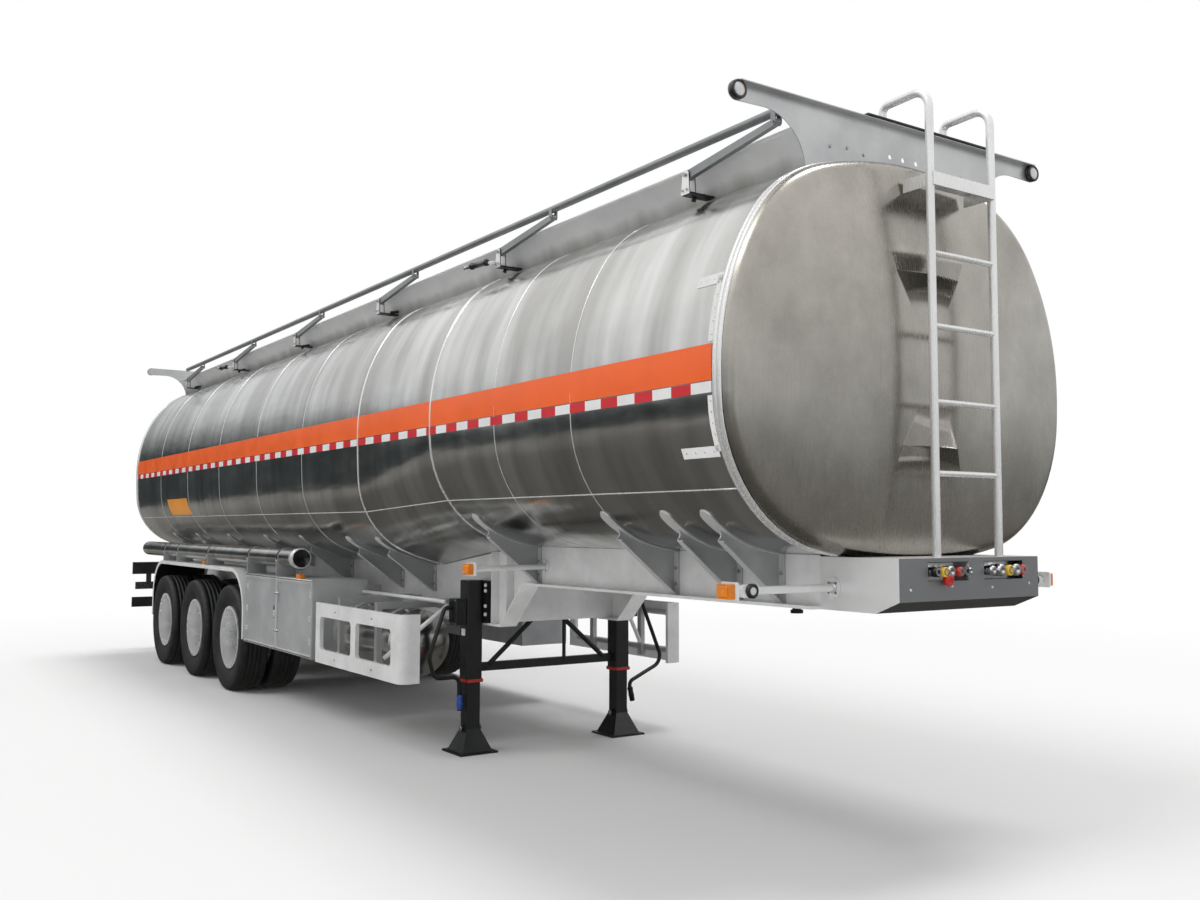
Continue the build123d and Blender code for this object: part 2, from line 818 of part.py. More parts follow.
# A post's bracket on the coaming: two round-topped cheeks, their floor and the pin
def post_bracket(along):
    inner = post_width / 2 + cheek_gap
    outer = inner + cheek_thickness
    floor_z = post_pin_z - cheek_drop
    wall_y = sqrt(sweep_radius**2 - (floor_z - sweep_z) ** 2) - sweep_y
    front, rear = along - cheek_front, along + cheek_rear
    bracket = block(front, rear, rail_y - outer, wall_y - seat_gap, floor_z - bracket_floor, floor_z)
    for low_y in (rail_y - outer, rail_y + inner):
        high_y = low_y + cheek_thickness
        outline = [
            (front, floor_z), (along - cheek_radius, post_pin_z), (along + cheek_radius, post_pin_z), (rear, floor_z),
        ]
        cheek = side_profile(outline, low_y, high_y)
        bracket = bracket + cheek + cross_rod(along, low_y, high_y, post_pin_z, cheek_radius)
    end = outer + pin_head
    return bracket + cross_rod(along, rail_y - end, rail_y + end, post_pin_z, post_pin_radius)


def make_handrail():
    tips = []
    brackets = []
    inner = post_width / 2 + cheek_gap
    outer = inner + cheek_thickness
    for number in range(1, post_count + 1):
        along = post_station + (number - 1) * post_spacing
        post, tip = post_shape(along)
        tips.append(tip)
        save(f"handrail_post_{number}", post)
        brackets.append(post_bracket(along))
    save("handrail_brackets", *brackets)
    rail_z = tips[0][1] + rail_drop
    front = tips[0][0] - rail_front_reach
    rear = tips[-1][0] + rail_rear_reach
    rail = rod((station(front), rail_y, rail_z), (station(rear), rail_y, rail_z), rail_radius)
    end = outer + pin_head
    for tip_station, tip_z in tips:
        lug_front, lug_rear = tip_station - rail_lug, tip_station + rail_lug
        for low_y in (rail_y - outer, rail_y + inner):
            high_y = low_y + cheek_thickness
            rail = rail + block(lug_front, lug_rear, low_y, high_y, tip_z, rail_z)
            rail = rail + cross_rod(tip_station, low_y, high_y, tip_z, rail_lug)
        rail = rail + cross_rod(tip_station, rail_y - end, rail_y + end, tip_z, post_pin_radius)
    save("handrail_rail", rail)


# Frame
def beam_top(along):
    y = beam_half - web_thickness
    front_top = belly_height(y, front_lower_arcs, front_floor_z) - seat_gap
    rear_top = belly_height(y, rear_lower_arcs, rear_floor_z) - seat_gap
    share = min(max((along - cone_station) / (drop_station - cone_station), 0), 1)
    return front_top + (rear_top - front_top) * share


# Upper side of the bottom flange along the neck
def flange_top(along):
    share = min(max((along - neck_front_station) / (neck_rear_station - neck_front_station), 0), 1)
    return front_beam_z - neck_rise * share + flange_thickness


def make_beams():
    bottom = [
        (beam_front_station, front_beam_z),
        (neck_front_station, front_beam_z),
        (neck_rear_station, rear_beam_z),
        (beam_rear_station, rear_beam_z),
    ]
    tail_top = rear_beam_z + tail_beam_height
    end = tail_station - tail_gap
    top = [
        (beam_rear_station, tail_top), (end + tail_ramp, tail_top), (end, beam_top(end)),
        (drop_station, beam_top(drop_station)), (cone_station, beam_top(cone_station)),
        (beam_front_station, beam_top(beam_front_station)),
    ]
    web = side_profile(bottom + top, beam_half - web_thickness, beam_half)
    raised = [(s, z + flange_thickness) for s, z in reversed(bottom)]
    flange = side_profile(bottom + raised, beam_mid - flange_width / 2, beam_mid + flange_width / 2)
    beam = web + flange
    for behind in neck_ribs:
        front = neck_front_station + behind
        rear = front + neck_rib_thickness
        outline = [
            (front, flange_top(front) - past), (rear, flange_top(rear) - past),
            (rear, beam_top(rear)), (front, beam_top(front)),
        ]
        beam = beam + side_profile(outline, beam_half - past, beam_half + neck_rib_depth)
    save("main_beams", *pair(beam))


def make_cross_members():
    half = beam_half - web_thickness
    members = []
    for table, beam_z in ((front_cross_members, front_beam_z), (rear_cross_members, rear_beam_z)):
        low = beam_z + flange_thickness
        for along, height in table:
            high = low + height
            web = block(along, along + cross_thickness, -half, half, low, high)
            foot = block(along, along + cross_flange, -half, half, low, low + cross_thickness)
            head = block(along, along + cross_flange, -half, half, high - cross_thickness, high)
            members.append(web + foot + head)
    save("cross_members", *members)


# The nose box: a folded shell with two slots in front and a shelf for the couplings
def make_nose_box():
    rear = beam_front_station
    wall = box_wall
    outer = [(0, box_lip_z), (0, box_top_z), (rear, box_top_z), (rear, front_beam_z), (box_slope, front_beam_z)]
    inner = [
        (wall, box_lip_z + wall / 2), (wall, box_top_z - wall), (rear + past, box_top_z - wall),
        (rear + past, front_beam_z + wall), (box_slope + wall / 2, front_beam_z + wall),
    ]
    clear = box_half - wall
    box = side_profile(outer, -box_half, box_half) - side_profile(inner, -clear, clear)
    box = box - block(box_roof_length, rear + past, -clear, clear, box_top_z - 2 * wall, box_top_z + past)
    box = box - slab(front_face(rim_height + seat_gap), box_roof_length, rear + past)
    slot_half = slot_height / 2
    for low_y, high_y in slots:
        box = box - block(-past, wall + past, low_y, high_y, slot_z - slot_half, slot_z + slot_half)
    shelf_top = slot_z - shelf_drop
    shelf = block(wall, wall + shelf_depth, *shelf_span, shelf_top - shelf_thickness, shelf_top)
    save("nose_box", box + shelf)


def make_coupler_plate():
    front = beam_front_station
    inner = beam_mid - flange_width / 2
    top = front_beam_z + coupler_thickness
    plate = block(front, coupler_rear_station, -inner, inner, front_beam_z, top)
    half = coupler_thickness / 2
    for y in coupler_ribs:
        rib_top = top + coupler_rib_height
        plate = plate + block(front, coupler_rear_station, y - half, y + half, top - past, rib_top)
    level = front_beam_z
    # Radius and length of each step of the kingpin, from the plate down
    for radius, length in (
        (kingpin_collar_radius, kingpin_collar),
        (kingpin_neck_radius, kingpin_neck),
        (kingpin_head_radius, kingpin_head),
    ):
        level -= length
        plate = plate + standing_cylinder(station(kingpin_station), level, radius, length)
    save("coupler_plate", plate)


# Height of the tank's lower skin at a distance from the middle
def skin_height(y, arcs, floor_z):
    centre, belly_mid = corner_centre(arcs, vehicle_half, floor_z, -1)[:2]
    if y < tangent_point(centre, belly_mid, arcs[1])[0]:
        return belly_height(y, arcs, floor_z)
    return centre[1] - sqrt(arcs[1] ** 2 - (y - centre[0]) ** 2)


# One saddle bracket on the +Y side: a round-ended pad under the tank and a lipped gusset on a bolted root
def outrigger(along, face, arcs, floor_z, foot_z):
    half = saddle_width / 2
    front, rear = along - half, along + half
    inner_y = beam_half + seat_gap
    band = slab(face(seat_gap + saddle_thickness), front, rear)
    limit = block(front, rear, inner_y, saddle_reach - half, foot_z, wide_z)
    round_end = Pos(station(along), saddle_reach - half, (foot_z + wide_z) / 2) * Cylinder(half, wide_z - foot_z)
    pad = band & (limit + round_end)
    sheet_half = gusset_thickness / 2
    skin_z = skin_height(gusset_reach, arcs, floor_z)
    tip_z = skin_z - gusset_tip_drop
    toe = (inner_y + gusset_toe, foot_z)
    outline = Polyline(
        (0, inner_y, floor_z + saddle_width), (0, inner_y, foot_z), (0, *toe),
        (0, gusset_reach, tip_z), (0, gusset_reach, skin_z + saddle_width),
        close=True,
    )
    gusset = slab(make_face(outline), along - sheet_half, along + sheet_half)
    nose_y = gusset_reach + gusset_nose_radius / 2
    nose = rod((station(rear), nose_y, skin_z - gusset_tip_drop / 2),
               (station(front), nose_y, skin_z - gusset_tip_drop / 2), gusset_nose_radius)
    run = Vector(0, gusset_reach - toe[0], tip_z - toe[1]).normalized()
    lift = Vector(0, -run.Z, run.Y) * gusset_thickness
    low, high = Vector(0, *toe), Vector(0, gusset_reach, tip_z)
    lip = slab(make_face(Polyline(low, high, high + lift, low + lift, close=True)), along - gusset_lip, along + sheet_half)
    root_length, root_thickness = root_plate
    root = block(along - root_length, along + sheet_half, inner_y, inner_y + root_thickness,
                 foot_z, skin_height(inner_y, arcs, floor_z))
    bracket = pad + (gusset - nose) + lip + root
    return bracket - slab(face(seat_gap), front - past, rear + past)


def make_outriggers():
    shapes = []
    for along in front_saddles:
        foot_z = front_beam_z + flange_thickness
        shapes += pair(outrigger(along, front_face, front_lower_arcs, front_floor_z, foot_z))
    for along in rear_saddles:
        over_arch = along > arch_front_station
        foot_z = arch_top_z + arch_gusset_gap if over_arch else rear_beam_z + side_gusset_rise
        shapes += pair(outrigger(along, rear_face, rear_lower_arcs, rear_floor_z, foot_z))
    save("outriggers", *shapes)


def make_marker_arms():
    arms = []
    lamps = []
    lamp_y = marker_tip_y - marker_lamp_depth
    half_length, half_height = marker_lamp_length / 2, marker_lamp_height / 2
    for base, tip, z, face_y in marker_arms:
        root_y = face_y + seat_gap
        start = (station(base), root_y, z)
        end = (station(tip), marker_tip_y, z)
        lead = Vector(*start) * 2 - Vector(*end)
        arm = rod((lead.X, lead.Y, lead.Z), end, marker_arm_radius)
        room = marker_flange_radius
        arm = arm & block(tip - room, base + room, root_y, lamp_y, z - room, z + room)
        flange = cross_rod(base, root_y, root_y + marker_flange, z, marker_flange_radius)
        arms += pair(arm + flange)
        lamp = block(tip - half_length, tip + half_length, lamp_y, marker_tip_y, z - half_height, z + half_height)
        lamps += pair(lamp)
    save("marker_arms", *arms)
    return lamps


# Landing gear
def leg_tubes(side):
    mid = side * leg_y
    half = leg_outer / 2
    bore_half = leg_inner / 2 + leg_wear_gap
    inner_half = leg_inner / 2

    def square(reach, low_z, high_z, corner):
        return post_block(leg_station - reach, leg_station + reach, mid - reach, mid + reach, low_z, high_z, corner)

    outer = square(half, leg_outer_foot_z, leg_top_z, leg_corner)
    band_half = half + leg_band_thickness
    outer = outer + square(band_half, leg_outer_foot_z, leg_outer_foot_z + leg_band, leg_corner)
    inner_corner = leg_corner / 2
    outer = outer - square(bore_half, leg_outer_foot_z - past, leg_top_z - leg_roof, inner_corner)
    inner = square(inner_half, foot_height, leg_top_z - leg_roof - leg_head_gap, inner_corner)
    return outer, inner


# The box bracket between a leg and the beam, the gearbox on the leg's outer side and its crank
def leg_fittings(side):
    half = leg_outer / 2
    wall = leg_bracket_wall
    low = rear_beam_z + flange_thickness + seat_gap
    high = low + leg_bracket_height
    inner_y, outer_y = beam_half + seat_gap, leg_y - half
    front, rear = leg_station - half - leg_bracket_reach, leg_station + half + leg_bracket_reach
    box = block(front, rear, inner_y, outer_y, low, high)
    hollow = block(front + wall, rear - wall, inner_y + wall, outer_y - wall, low - past, high + past)
    gear_y = leg_y + half
    length, depth, height = gearbox_size
    gear_top = leg_top_z - gearbox_drop
    gear = post_block(leg_station - length / 2, leg_station + length / 2, gear_y - past, gear_y + depth,
                      gear_top - height, gear_top, leg_corner)
    crank, bends = (left_crank, left_bends) if side > 0 else (right_crank, right_bends)
    x = station(leg_station)
    points = [(x, y, z) for y, z in crank]
    bar = bent_bar(points, bends, crank_radius)
    tip = Vector(*points[-1])
    back = (Vector(*points[-2]) - tip).normalized() * crank_grip
    grip = rod((tip.X, tip.Y, tip.Z), (tip.X + back.X, tip.Y + back.Y, tip.Z + back.Z), crank_grip_radius)
    fittings = (box - hollow) + gear + bar + grip
    return fittings if side > 0 else mirrored(fittings)


# The shoe on the inner tube's foot: plate, sloping skirt, two lugs and their pin
def leg_shoe(side):
    mid = side * leg_y
    half = leg_inner / 2
    skirt_size = foot_size - 2 * foot_skirt_inset
    skirt = loft(
        [
            Pos(station(leg_station), mid, foot_height + foot_skirt_rise) * Rectangle(leg_inner, leg_inner),
            Pos(station(leg_station), mid, foot_plate) * Rectangle(skirt_size, skirt_size),
        ],
        ruled=True,
    )
    shoe = skirt + Pos(station(leg_station), mid, foot_plate / 2) * Box(foot_size, foot_size, foot_plate)
    pin_z = foot_height + foot_skirt_rise
    for way in (1, -1):
        near, far = mid + way * half, mid + way * (half + foot_lug_thickness)
        low_y, high_y = min(near, far), max(near, far)
        lug = cross_rod(leg_station, low_y, high_y, pin_z, foot_lug_radius)
        shoe = shoe + lug + block(
            leg_station - foot_lug_radius, leg_station + foot_lug_radius, low_y, high_y, foot_plate, pin_z
        )
    end = half + 2 * foot_lug_thickness
    return shoe + cross_rod(leg_station, mid - end, mid + end, pin_z, foot_pin_radius)


# The frame between the two legs, hung from a tie between the beams
def leg_brace():
    inner_y = leg_y - leg_outer / 2 - seat_gap
    half = brace_width / 2
    front = leg_station - brace_front
    brace = block(front, front + brace_depth, -inner_y, inner_y, brace_z - half, brace_z + half)
    strut_z = brace_z + brace_width / 3
    for side in (1, -1):
        top = (station(leg_station), side * strut_radius, brace_apex_z)
        low = (station(leg_station), side * (inner_y - strut_inset), strut_z)
        brace = brace + rod(top, low, strut_radius)
    post_half = brace_post / 2
    brace = brace + block(
        leg_station - post_half, leg_station + post_half, brace_post_y - post_half, brace_post_y + post_half,
        brace_z, brace_apex_z - brace_post_drop,
    )
    cap_low = brace_apex_z - brace_cap_drop
    brace = brace + block(leg_station - half, leg_station + half, -brace_cap, brace_cap, cap_low, cap_low + brace_cap)
    tie_y = beam_half - web_thickness - seat_gap
    tie_low = cap_low + brace_cap - half
    return brace + block(leg_station - tie_half, leg_station + tie_half, -tie_y, tie_y, tie_low, tie_low + tie_height)


def make_landing_gear():
    legs = []
    feet = []
    for side in (1, -1):
        outer, inner = leg_tubes(side)
        legs.append(outer + leg_fittings(side))
        feet.append(inner + leg_shoe(side))
    save("landing_feet", *feet)
    save("landing_legs", *legs, leg_brace())


# Running gear: a profile of radius and Y, turned about a wheel's axle
def turned(points, along):
    outline = Polyline(*[(r, y, 0) for r, y in points], close=True)
    return Pos(station(along), 0, wheel_radius) * revolve(make_face(outline), Axis.Y)


# A tyre about a middle plane: bead, bulging sidewall, shoulder and tread
def tyre_shape(along, middle):
    half = tyre_width / 2
    shoulder = half - shoulder_inset
    tread = shoulder - tread_inset
    heel = bead_radius + rim_flange_height + bead_heel
    edges = []
    for side in (1, -1):
        bead_y, widest_y, shoulder_y = (middle + side * reach for reach in (bead_half, half, shoulder))
        edges += [
            Line((bead_radius, bead_y), (heel, bead_y)),
            ThreePointArc((heel, bead_y), (heel + bulge_rise, widest_y), (wheel_radius - shoulder_drop, shoulder_y)),
            Line((wheel_radius - shoulder_drop, shoulder_y), (wheel_radius, middle + side * tread)),
        ]
    edges.append(Line((bead_radius, middle - bead_half), (bead_radius, middle + bead_half)))
    edges.append(Line((wheel_radius, middle - tread), (wheel_radius, middle + tread)))
    solid = revolve(make_face(Wire(edges)), Axis.Y)
    return Pos(station(along), 0, wheel_radius) * solid


# A steel wheel: rim with its flanges and a dished disc that meets its twin at the joint
def rim_shape(along, middle, joint_y):
    out = 1 if middle > joint_y else -1
    flange = bead_radius + rim_flange_height
    seat = bead_radius - seat_gap
    inner = bead_radius - rim_wall
    near_flange = bead_half + seat_gap
    far_flange = near_flange + rim_flange
    rim = turned(
        [
            (seat, middle - near_flange), (flange, middle - near_flange), (flange, middle - far_flange),
            (inner, middle - far_flange), (inner, middle + far_flange), (flange, middle + far_flange),
            (flange, middle + near_flange), (seat, middle + near_flange),
        ],
        along,
    )
    far = joint_y + out * disc_thickness
    dish = out * disc_dish
    edge = inner + past
    disc = turned(
        [
            (disc_bore, joint_y), (disc_radius, joint_y), (edge, joint_y + dish),
            (edge, far + dish), (disc_radius, far), (disc_bore, far),
        ],
        along,
    )
    wheel = rim + disc
    reach = disc_dish + 2 * disc_thickness
    for number in range(hand_holes):
        angle = radians(number * 360 / hand_holes)
        x = station(along) + hand_hole_circle * cos(angle)
        z = wheel_radius + hand_hole_circle * sin(angle)
        wheel = wheel - rod((x, joint_y - reach, z), (x, joint_y + reach, z), hand_hole_radius)
    return wheel


# The hub with its brake drum and its cap, bored for the spindle
def hub_shape(along, joint):
    bore = spindle_radius + pin_gap
    inboard = joint - drum_length
    drum_end = joint - disc_thickness - drum_gap
    cap_end = joint + hub_reach
    points = [
        (bore, inboard), (drum_radius - drum_bevel, inboard), (drum_radius, inboard + drum_bevel),
        (drum_radius, drum_end), (hub_radius, joint - disc_thickness - running_gap),
        (hub_radius, joint + hub_cap_start), (hub_cap_radius, joint + hub_cap_start + hub_cap_bevel),
        (hub_cap_radius, cap_end - hub_cap_round), (hub_cap_radius - hub_cap_round, cap_end), (0, cap_end),
        (0, cap_end - hub_cap_wall), (bore, cap_end - hub_cap_wall),
    ]
    return turned(points, along)


def axle_shape(along, joint):
    reach = joint - drum_length - axle_end_gap
    tip = joint + hub_reach - hub_cap_wall - running_gap
    axle = cross_rod(along, -reach, reach, wheel_radius, axle_radius)
    axle = axle + cross_rod(along, -tip, tip, wheel_radius, spindle_radius)
    front, rear = along - axle_seat_half, along + axle_seat_half
    seat_z = wheel_radius + axle_radius + axle_seat_height
    for middle in (spring_y, -spring_y):
        low_y, high_y = middle - spring_width / 2, middle + spring_width / 2
        axle = axle + block(front, rear, low_y, high_y, wheel_radius, seat_z)
    return axle


def make_wheels():
    outer_mid = wheel_face_y - tyre_width / 2
    inner_mid = outer_mid - twin_spacing
    joint = (outer_mid + inner_mid) / 2
    axles = []
    for number in range(1, axle_count + 1):
        along = axle_station + (number - 1) * axle_spacing
        tyres = [tyre_shape(along, outer_mid), tyre_shape(along, inner_mid)]
        wheel = hub_shape(along, joint) + rim_shape(along, outer_mid, joint) + rim_shape(along, inner_mid, joint)
        save(f"tyres_left_{number}", *tyres)
        save(f"tyres_right_{number}", *[mirrored(tyre) for tyre in tyres])
        save(f"wheels_left_{number}", wheel)
        save(f"wheels_right_{number}", mirrored(wheel))
        axles.append(axle_shape(along, joint))
    save("axles", *axles)


# A leaf spring over an axle: leaves that follow one arc, shorter towards the axle
def spring_shape(along):
    base_z = wheel_radius + axle_radius + axle_seat_height + seat_gap
    radius = (spring_half_length**2 + spring_rise**2) / (2 * spring_rise)
    low_y, high_y = spring_y - spring_width / 2, spring_y + spring_width / 2
    centre_z = base_z + radius
    share_step = (1 - spring_first_share) / (spring_leaves - 1)

    def point(r, angle):
        return (station(along) + r * sin(angle), 0, centre_z - r * cos(angle))

    stack_z = base_z + spring_leaf * spring_leaves
    spring = block(along - axle_seat_half, along + axle_seat_half, low_y, high_y, base_z + spring_leaf, stack_z + spring_plate)
    for leaf in range(spring_leaves):
        outer = radius - leaf * spring_leaf
        inner = outer - spring_leaf
        turn = asin(spring_half_length * (spring_first_share + share_step * leaf) / radius)
        edges = [
            ThreePointArc(point(outer, -turn), point(outer, 0), point(outer, turn)),
            Line(point(outer, turn), point(inner, turn)),
            ThreePointArc(point(inner, turn), point(inner, 0), point(inner, -turn)),
            Line(point(inner, -turn), point(outer, -turn)),
        ]
        spring = spring + Pos(0, low_y, 0) * extrude(make_face(Wire(edges)), high_y - low_y, dir=(0, 1, 0))
    end_top = centre_z - (radius - spring_leaves * spring_leaf) * cos(asin(spring_half_length / radius))
    return spring, end_top


# A hanger with its rocker, between two springs
def hanger_shape(along, rocker_z):
    low, high = spring_y - spring_width / 2 - hanger_gap, spring_y + spring_width / 2 + hanger_gap
    waist_z, foot_z = rear_beam_z - hanger_waist_drop, rocker_z - hanger_foot_drop
    outline = [
        (along - hanger_half, rear_beam_z), (along + hanger_half, rear_beam_z),
        (along + hanger_waist_half, waist_z), (along + hanger_foot_half, foot_z),
        (along - hanger_foot_half, foot_z), (along - hanger_waist_half, waist_z),
    ]
    shape = block(along - hanger_half, along + hanger_half, low, high, rear_beam_z - hanger_roof, rear_beam_z)
    for low_y in (low - hanger_thickness, high):
        shape = shape + side_profile(outline, low_y, low_y + hanger_thickness)
    reach = rocker_half_length
    rocker = block(along - reach, along + reach, low + hanger_gap, high - hanger_gap, rocker_z, rocker_z + rocker_height)
    pin_reach = hanger_thickness * 2
    pin = cross_rod(along, low - pin_reach, high + pin_reach, rocker_z + rocker_height / 2, hanger_pin_radius)
    return shape + rocker + pin


def make_suspension():
    springs = []
    for number in range(axle_count):
        shape, end_top = spring_shape(axle_station + number * axle_spacing)
        springs += pair(shape)
    save("leaf_springs", *springs)
    hangers = []
    first = axle_station - axle_spacing / 2
    for number in range(axle_count + 1):
        hangers += pair(hanger_shape(first + number * axle_spacing, end_top + seat_gap))
    save("spring_hangers", *hangers)


# Side equipment: the mudguard's line over the three axles, moved inwards
def arch_edges(shift):
    middle = axle_station + axle_spacing * (axle_count - 1) / 2
    front = arch_front_station + shift
    rear = 2 * middle - front
    top = arch_top_z - shift
    radius = arch_radius - shift
    half = radians(45)
    bend_s, bend_z = radius * (1 - cos(half)), top - radius * (1 - sin(half))

    def at(s, z):
        return (station(s), 0, z)

    return [
        Line(at(front, arch_foot_z), at(front, top - radius)),
        ThreePointArc(at(front, top - radius), at(front + bend_s, bend_z), at(front + radius, top)),
        Line(at(front + radius, top), at(rear - radius, top)),
        ThreePointArc(at(rear - radius, top), at(rear - bend_s, bend_z), at(rear, top - radius)),
        Line(at(rear, top - radius), at(rear, arch_foot_z)),
    ]


def arch_band(inset, low_y, high_y):
    outer = arch_edges(0)
    inner = arch_edges(inset)
    closing = [
        Line(outer[0] @ 0, inner[0] @ 0),
        Line(outer[-1] @ 1, inner[-1] @ 1),
    ]
    face = make_face(Wire(outer + inner + closing))
    return Pos(0, low_y, 0) * extrude(face, high_y - low_y, dir=(0, 1, 0))


def make_mudguards():
    sheet = arch_band(arch_thickness, guard_inner_y, guard_outer_y)
    lip = arch_band(arch_lip, guard_outer_y - arch_lip_thickness, guard_outer_y)
    save("mudguards", *pair(sheet + lip))
    arms = []
    top = arch_top_z - arch_thickness
    for behind in arch_arm_stations:
        along = arch_front_station + behind
        front, rear = along - arch_arm / 2, along + arch_arm / 2
        arm = block(front, rear, beam_half + seat_gap, guard_outer_y - arch_arm_inset, top - arch_arm, top)
        arms += pair(arm)
    return arms


# One leaf of a cabinet's doors with its knuckle; way is 1 towards the rear, from the hinge to the meeting edge
def cabinet_leaf(hinge, meet, low_z, high_z):
    way = 1 if meet > hinge else -1
    outer_y = cabinet_outer_y
    leaf = block(min(hinge, meet), max(hinge, meet), outer_y - door_thickness, outer_y, low_z, high_z)
    near, far = hinge + way * door_border, meet - way * door_border
    leaf = leaf - block(min(near, far), max(near, far), outer_y - door_pocket, outer_y + past,
                        low_z + door_border, high_z - door_border)
    pin_x = station(hinge + way * door_pin_inset)
    leaf = leaf + rod((pin_x, outer_y, low_z), (pin_x, outer_y, high_z), door_hinge_radius)
    return leaf - rod((pin_x, outer_y, low_z - past), (pin_x, outer_y, high_z + past), door_pin_radius + pin_gap)


# The cabinet's own half of a hinge: end knuckles and the two pins
def hinge_pins(pin_x, low_z, high_z):
    pins = []
    for low, high, pin_low, pin_high in (
        (cabinet_bottom_z, cabinet_bottom_z + cabinet_wall, cabinet_bottom_z, low_z + door_pin_length),
        (cabinet_top_z - cabinet_wall, cabinet_top_z, high_z - door_pin_length, cabinet_top_z),
    ):
        knuckle = rod((pin_x, cabinet_outer_y, low), (pin_x, cabinet_outer_y, high), door_hinge_radius)
        pins.append(knuckle + rod((pin_x, cabinet_outer_y, pin_low), (pin_x, cabinet_outer_y, pin_high), door_pin_radius))
    return pins


def make_cabinets():
    front, rear = cabinet_front_station, cabinet_rear_station
    wall = cabinet_wall
    outer = block(front, rear, cabinet_inner_y, cabinet_outer_y, cabinet_bottom_z, cabinet_top_z)
    shell = outer - block(
        front + wall, rear - wall, cabinet_inner_y + wall, cabinet_outer_y + past,
        cabinet_bottom_z + wall, cabinet_top_z - wall,
    )
    for along in (front + strap_inset, rear - strap_inset):
        half = strap_length / 2
        strap_top = cabinet_top_z - strap_drop
        shell = shell + block(along - half, along + half, beam_half + seat_gap, cabinet_inner_y,
                              strap_top - strap_height, strap_top)
    middle = (front + rear) / 2
    inset = wall + door_gap
    low_z, high_z = cabinet_bottom_z + inset, cabinet_top_z - inset
    for place, hinge, meet in (("front", front + inset, middle - door_meeting), ("rear", rear - inset, middle + door_meeting)):
        way = 1 if meet > hinge else -1
        leaf = cabinet_leaf(hinge, meet, low_z, high_z)
        for pin in hinge_pins(station(hinge + way * door_pin_inset), low_z, high_z):
            shell = shell + pin
        if place == "front":
            leaf = leaf + door_handle(meet - latch_inset, (low_z + high_z) / 2 + latch_rise)
        save(f"cabinet_door_left_{place}", leaf)
        save(f"cabinet_door_right_{place}", mirrored(leaf))
    save("cabinets", *pair(shell))


# The small T-handle in a door's panel
def door_handle(along, z):
    length, height = latch_size
    half = length / 2
    floor_y = cabinet_outer_y - door_pocket
    face_y = floor_y + latch_reach
    grip = block(along - half, along + half, floor_y, face_y, z - height / 2, z + height / 2)
    return grip + cross_rod(along, floor_y, face_y, z + height / 2 - length, length)


# A plate that props a side arm against the beam web, below the arm
def side_arm_brace(along):
    inner = beam_half + seat_gap
    top = arm_low_z + past
    outline = Polyline((0, inner, top), (0, inner, arm_low_z - brace_drop), (0, inner + brace_reach, top), close=True)
    return slab(make_face(outline), along - gusset_thickness / 2, along + gusset_thickness / 2)


# A side guard's plan: a rail with a rounded front corner that turns inwards
def guard_plan(x_front, x_rear, y_out, y_in):
    inner_r = guard_corner - guard_thickness
    bend_x, bend_y = x_front - guard_corner, y_out - guard_corner
    half = radians(45)

    def bend(radius):
        return (bend_x + radius * sin(half), bend_y + radius * cos(half), 0)

    x_in, y_end = x_front - guard_thickness, y_out - guard_return
    edges = [
        Line((x_rear, y_out, 0), (bend_x, y_out, 0)),
        ThreePointArc((bend_x, y_out, 0), bend(guard_corner), (x_front, bend_y, 0)),
        Line((x_front, bend_y, 0), (x_front, y_end, 0)),
        Line((x_front, y_end, 0), (x_in, y_end, 0)),
        Line((x_in, y_end, 0), (x_in, bend_y, 0)),
        ThreePointArc((x_in, bend_y, 0), bend(inner_r), (bend_x, y_in, 0)),
        Line((bend_x, y_in, 0), (x_rear, y_in, 0)),
        Line((x_rear, y_in, 0), (x_rear, y_out, 0)),
    ]
    return make_face(Wire(edges))


def make_side_guards():
    front, rear = guard_front_station, guard_rear_station
    y_out = vehicle_half - guard_inset
    y_in = y_out - guard_thickness
    plan = guard_plan(station(front), station(rear), y_out, y_in)
    guard = Pos(0, 0, guard_bottom_z) * extrude(plan, guard_top_z - guard_bottom_z, dir=(0, 0, 1))
    start = front + guard_corner + guard_post
    window_length = (rear - guard_post - start - guard_post) / 2
    window_height = guard_top_z - guard_bottom_z - 2 * guard_rail
    for number in range(2):
        middle = start + window_length / 2 + number * (window_length + guard_post)
        origin = (station(middle), y_in - past, (guard_top_z + guard_bottom_z) / 2)
        window_plane = Plane(origin=origin, x_dir=(1, 0, 0), z_dir=(0, 1, 0))
        sketch = window_plane * RectangleRounded(window_length, window_height, window_corner)
        guard = guard - extrude(sketch, guard_thickness + 2 * past, dir=(0, 1, 0))
    save("side_guards", *pair(guard))
    arms = []
    arm_top = arm_low_z + guard_arm
    for behind in guard_arm_stations:
        along = front + behind
        ahead, after = along - guard_arm / 2, along + guard_arm / 2
        arm = block(ahead, after, beam_half + seat_gap, y_in, arm_low_z, arm_top)
        drop = block(ahead, after, y_in - guard_drop, y_in, guard_bottom_z + guard_drop_rise, arm_top)
        arms += pair(arm + drop + side_arm_brace(along))
    return arms


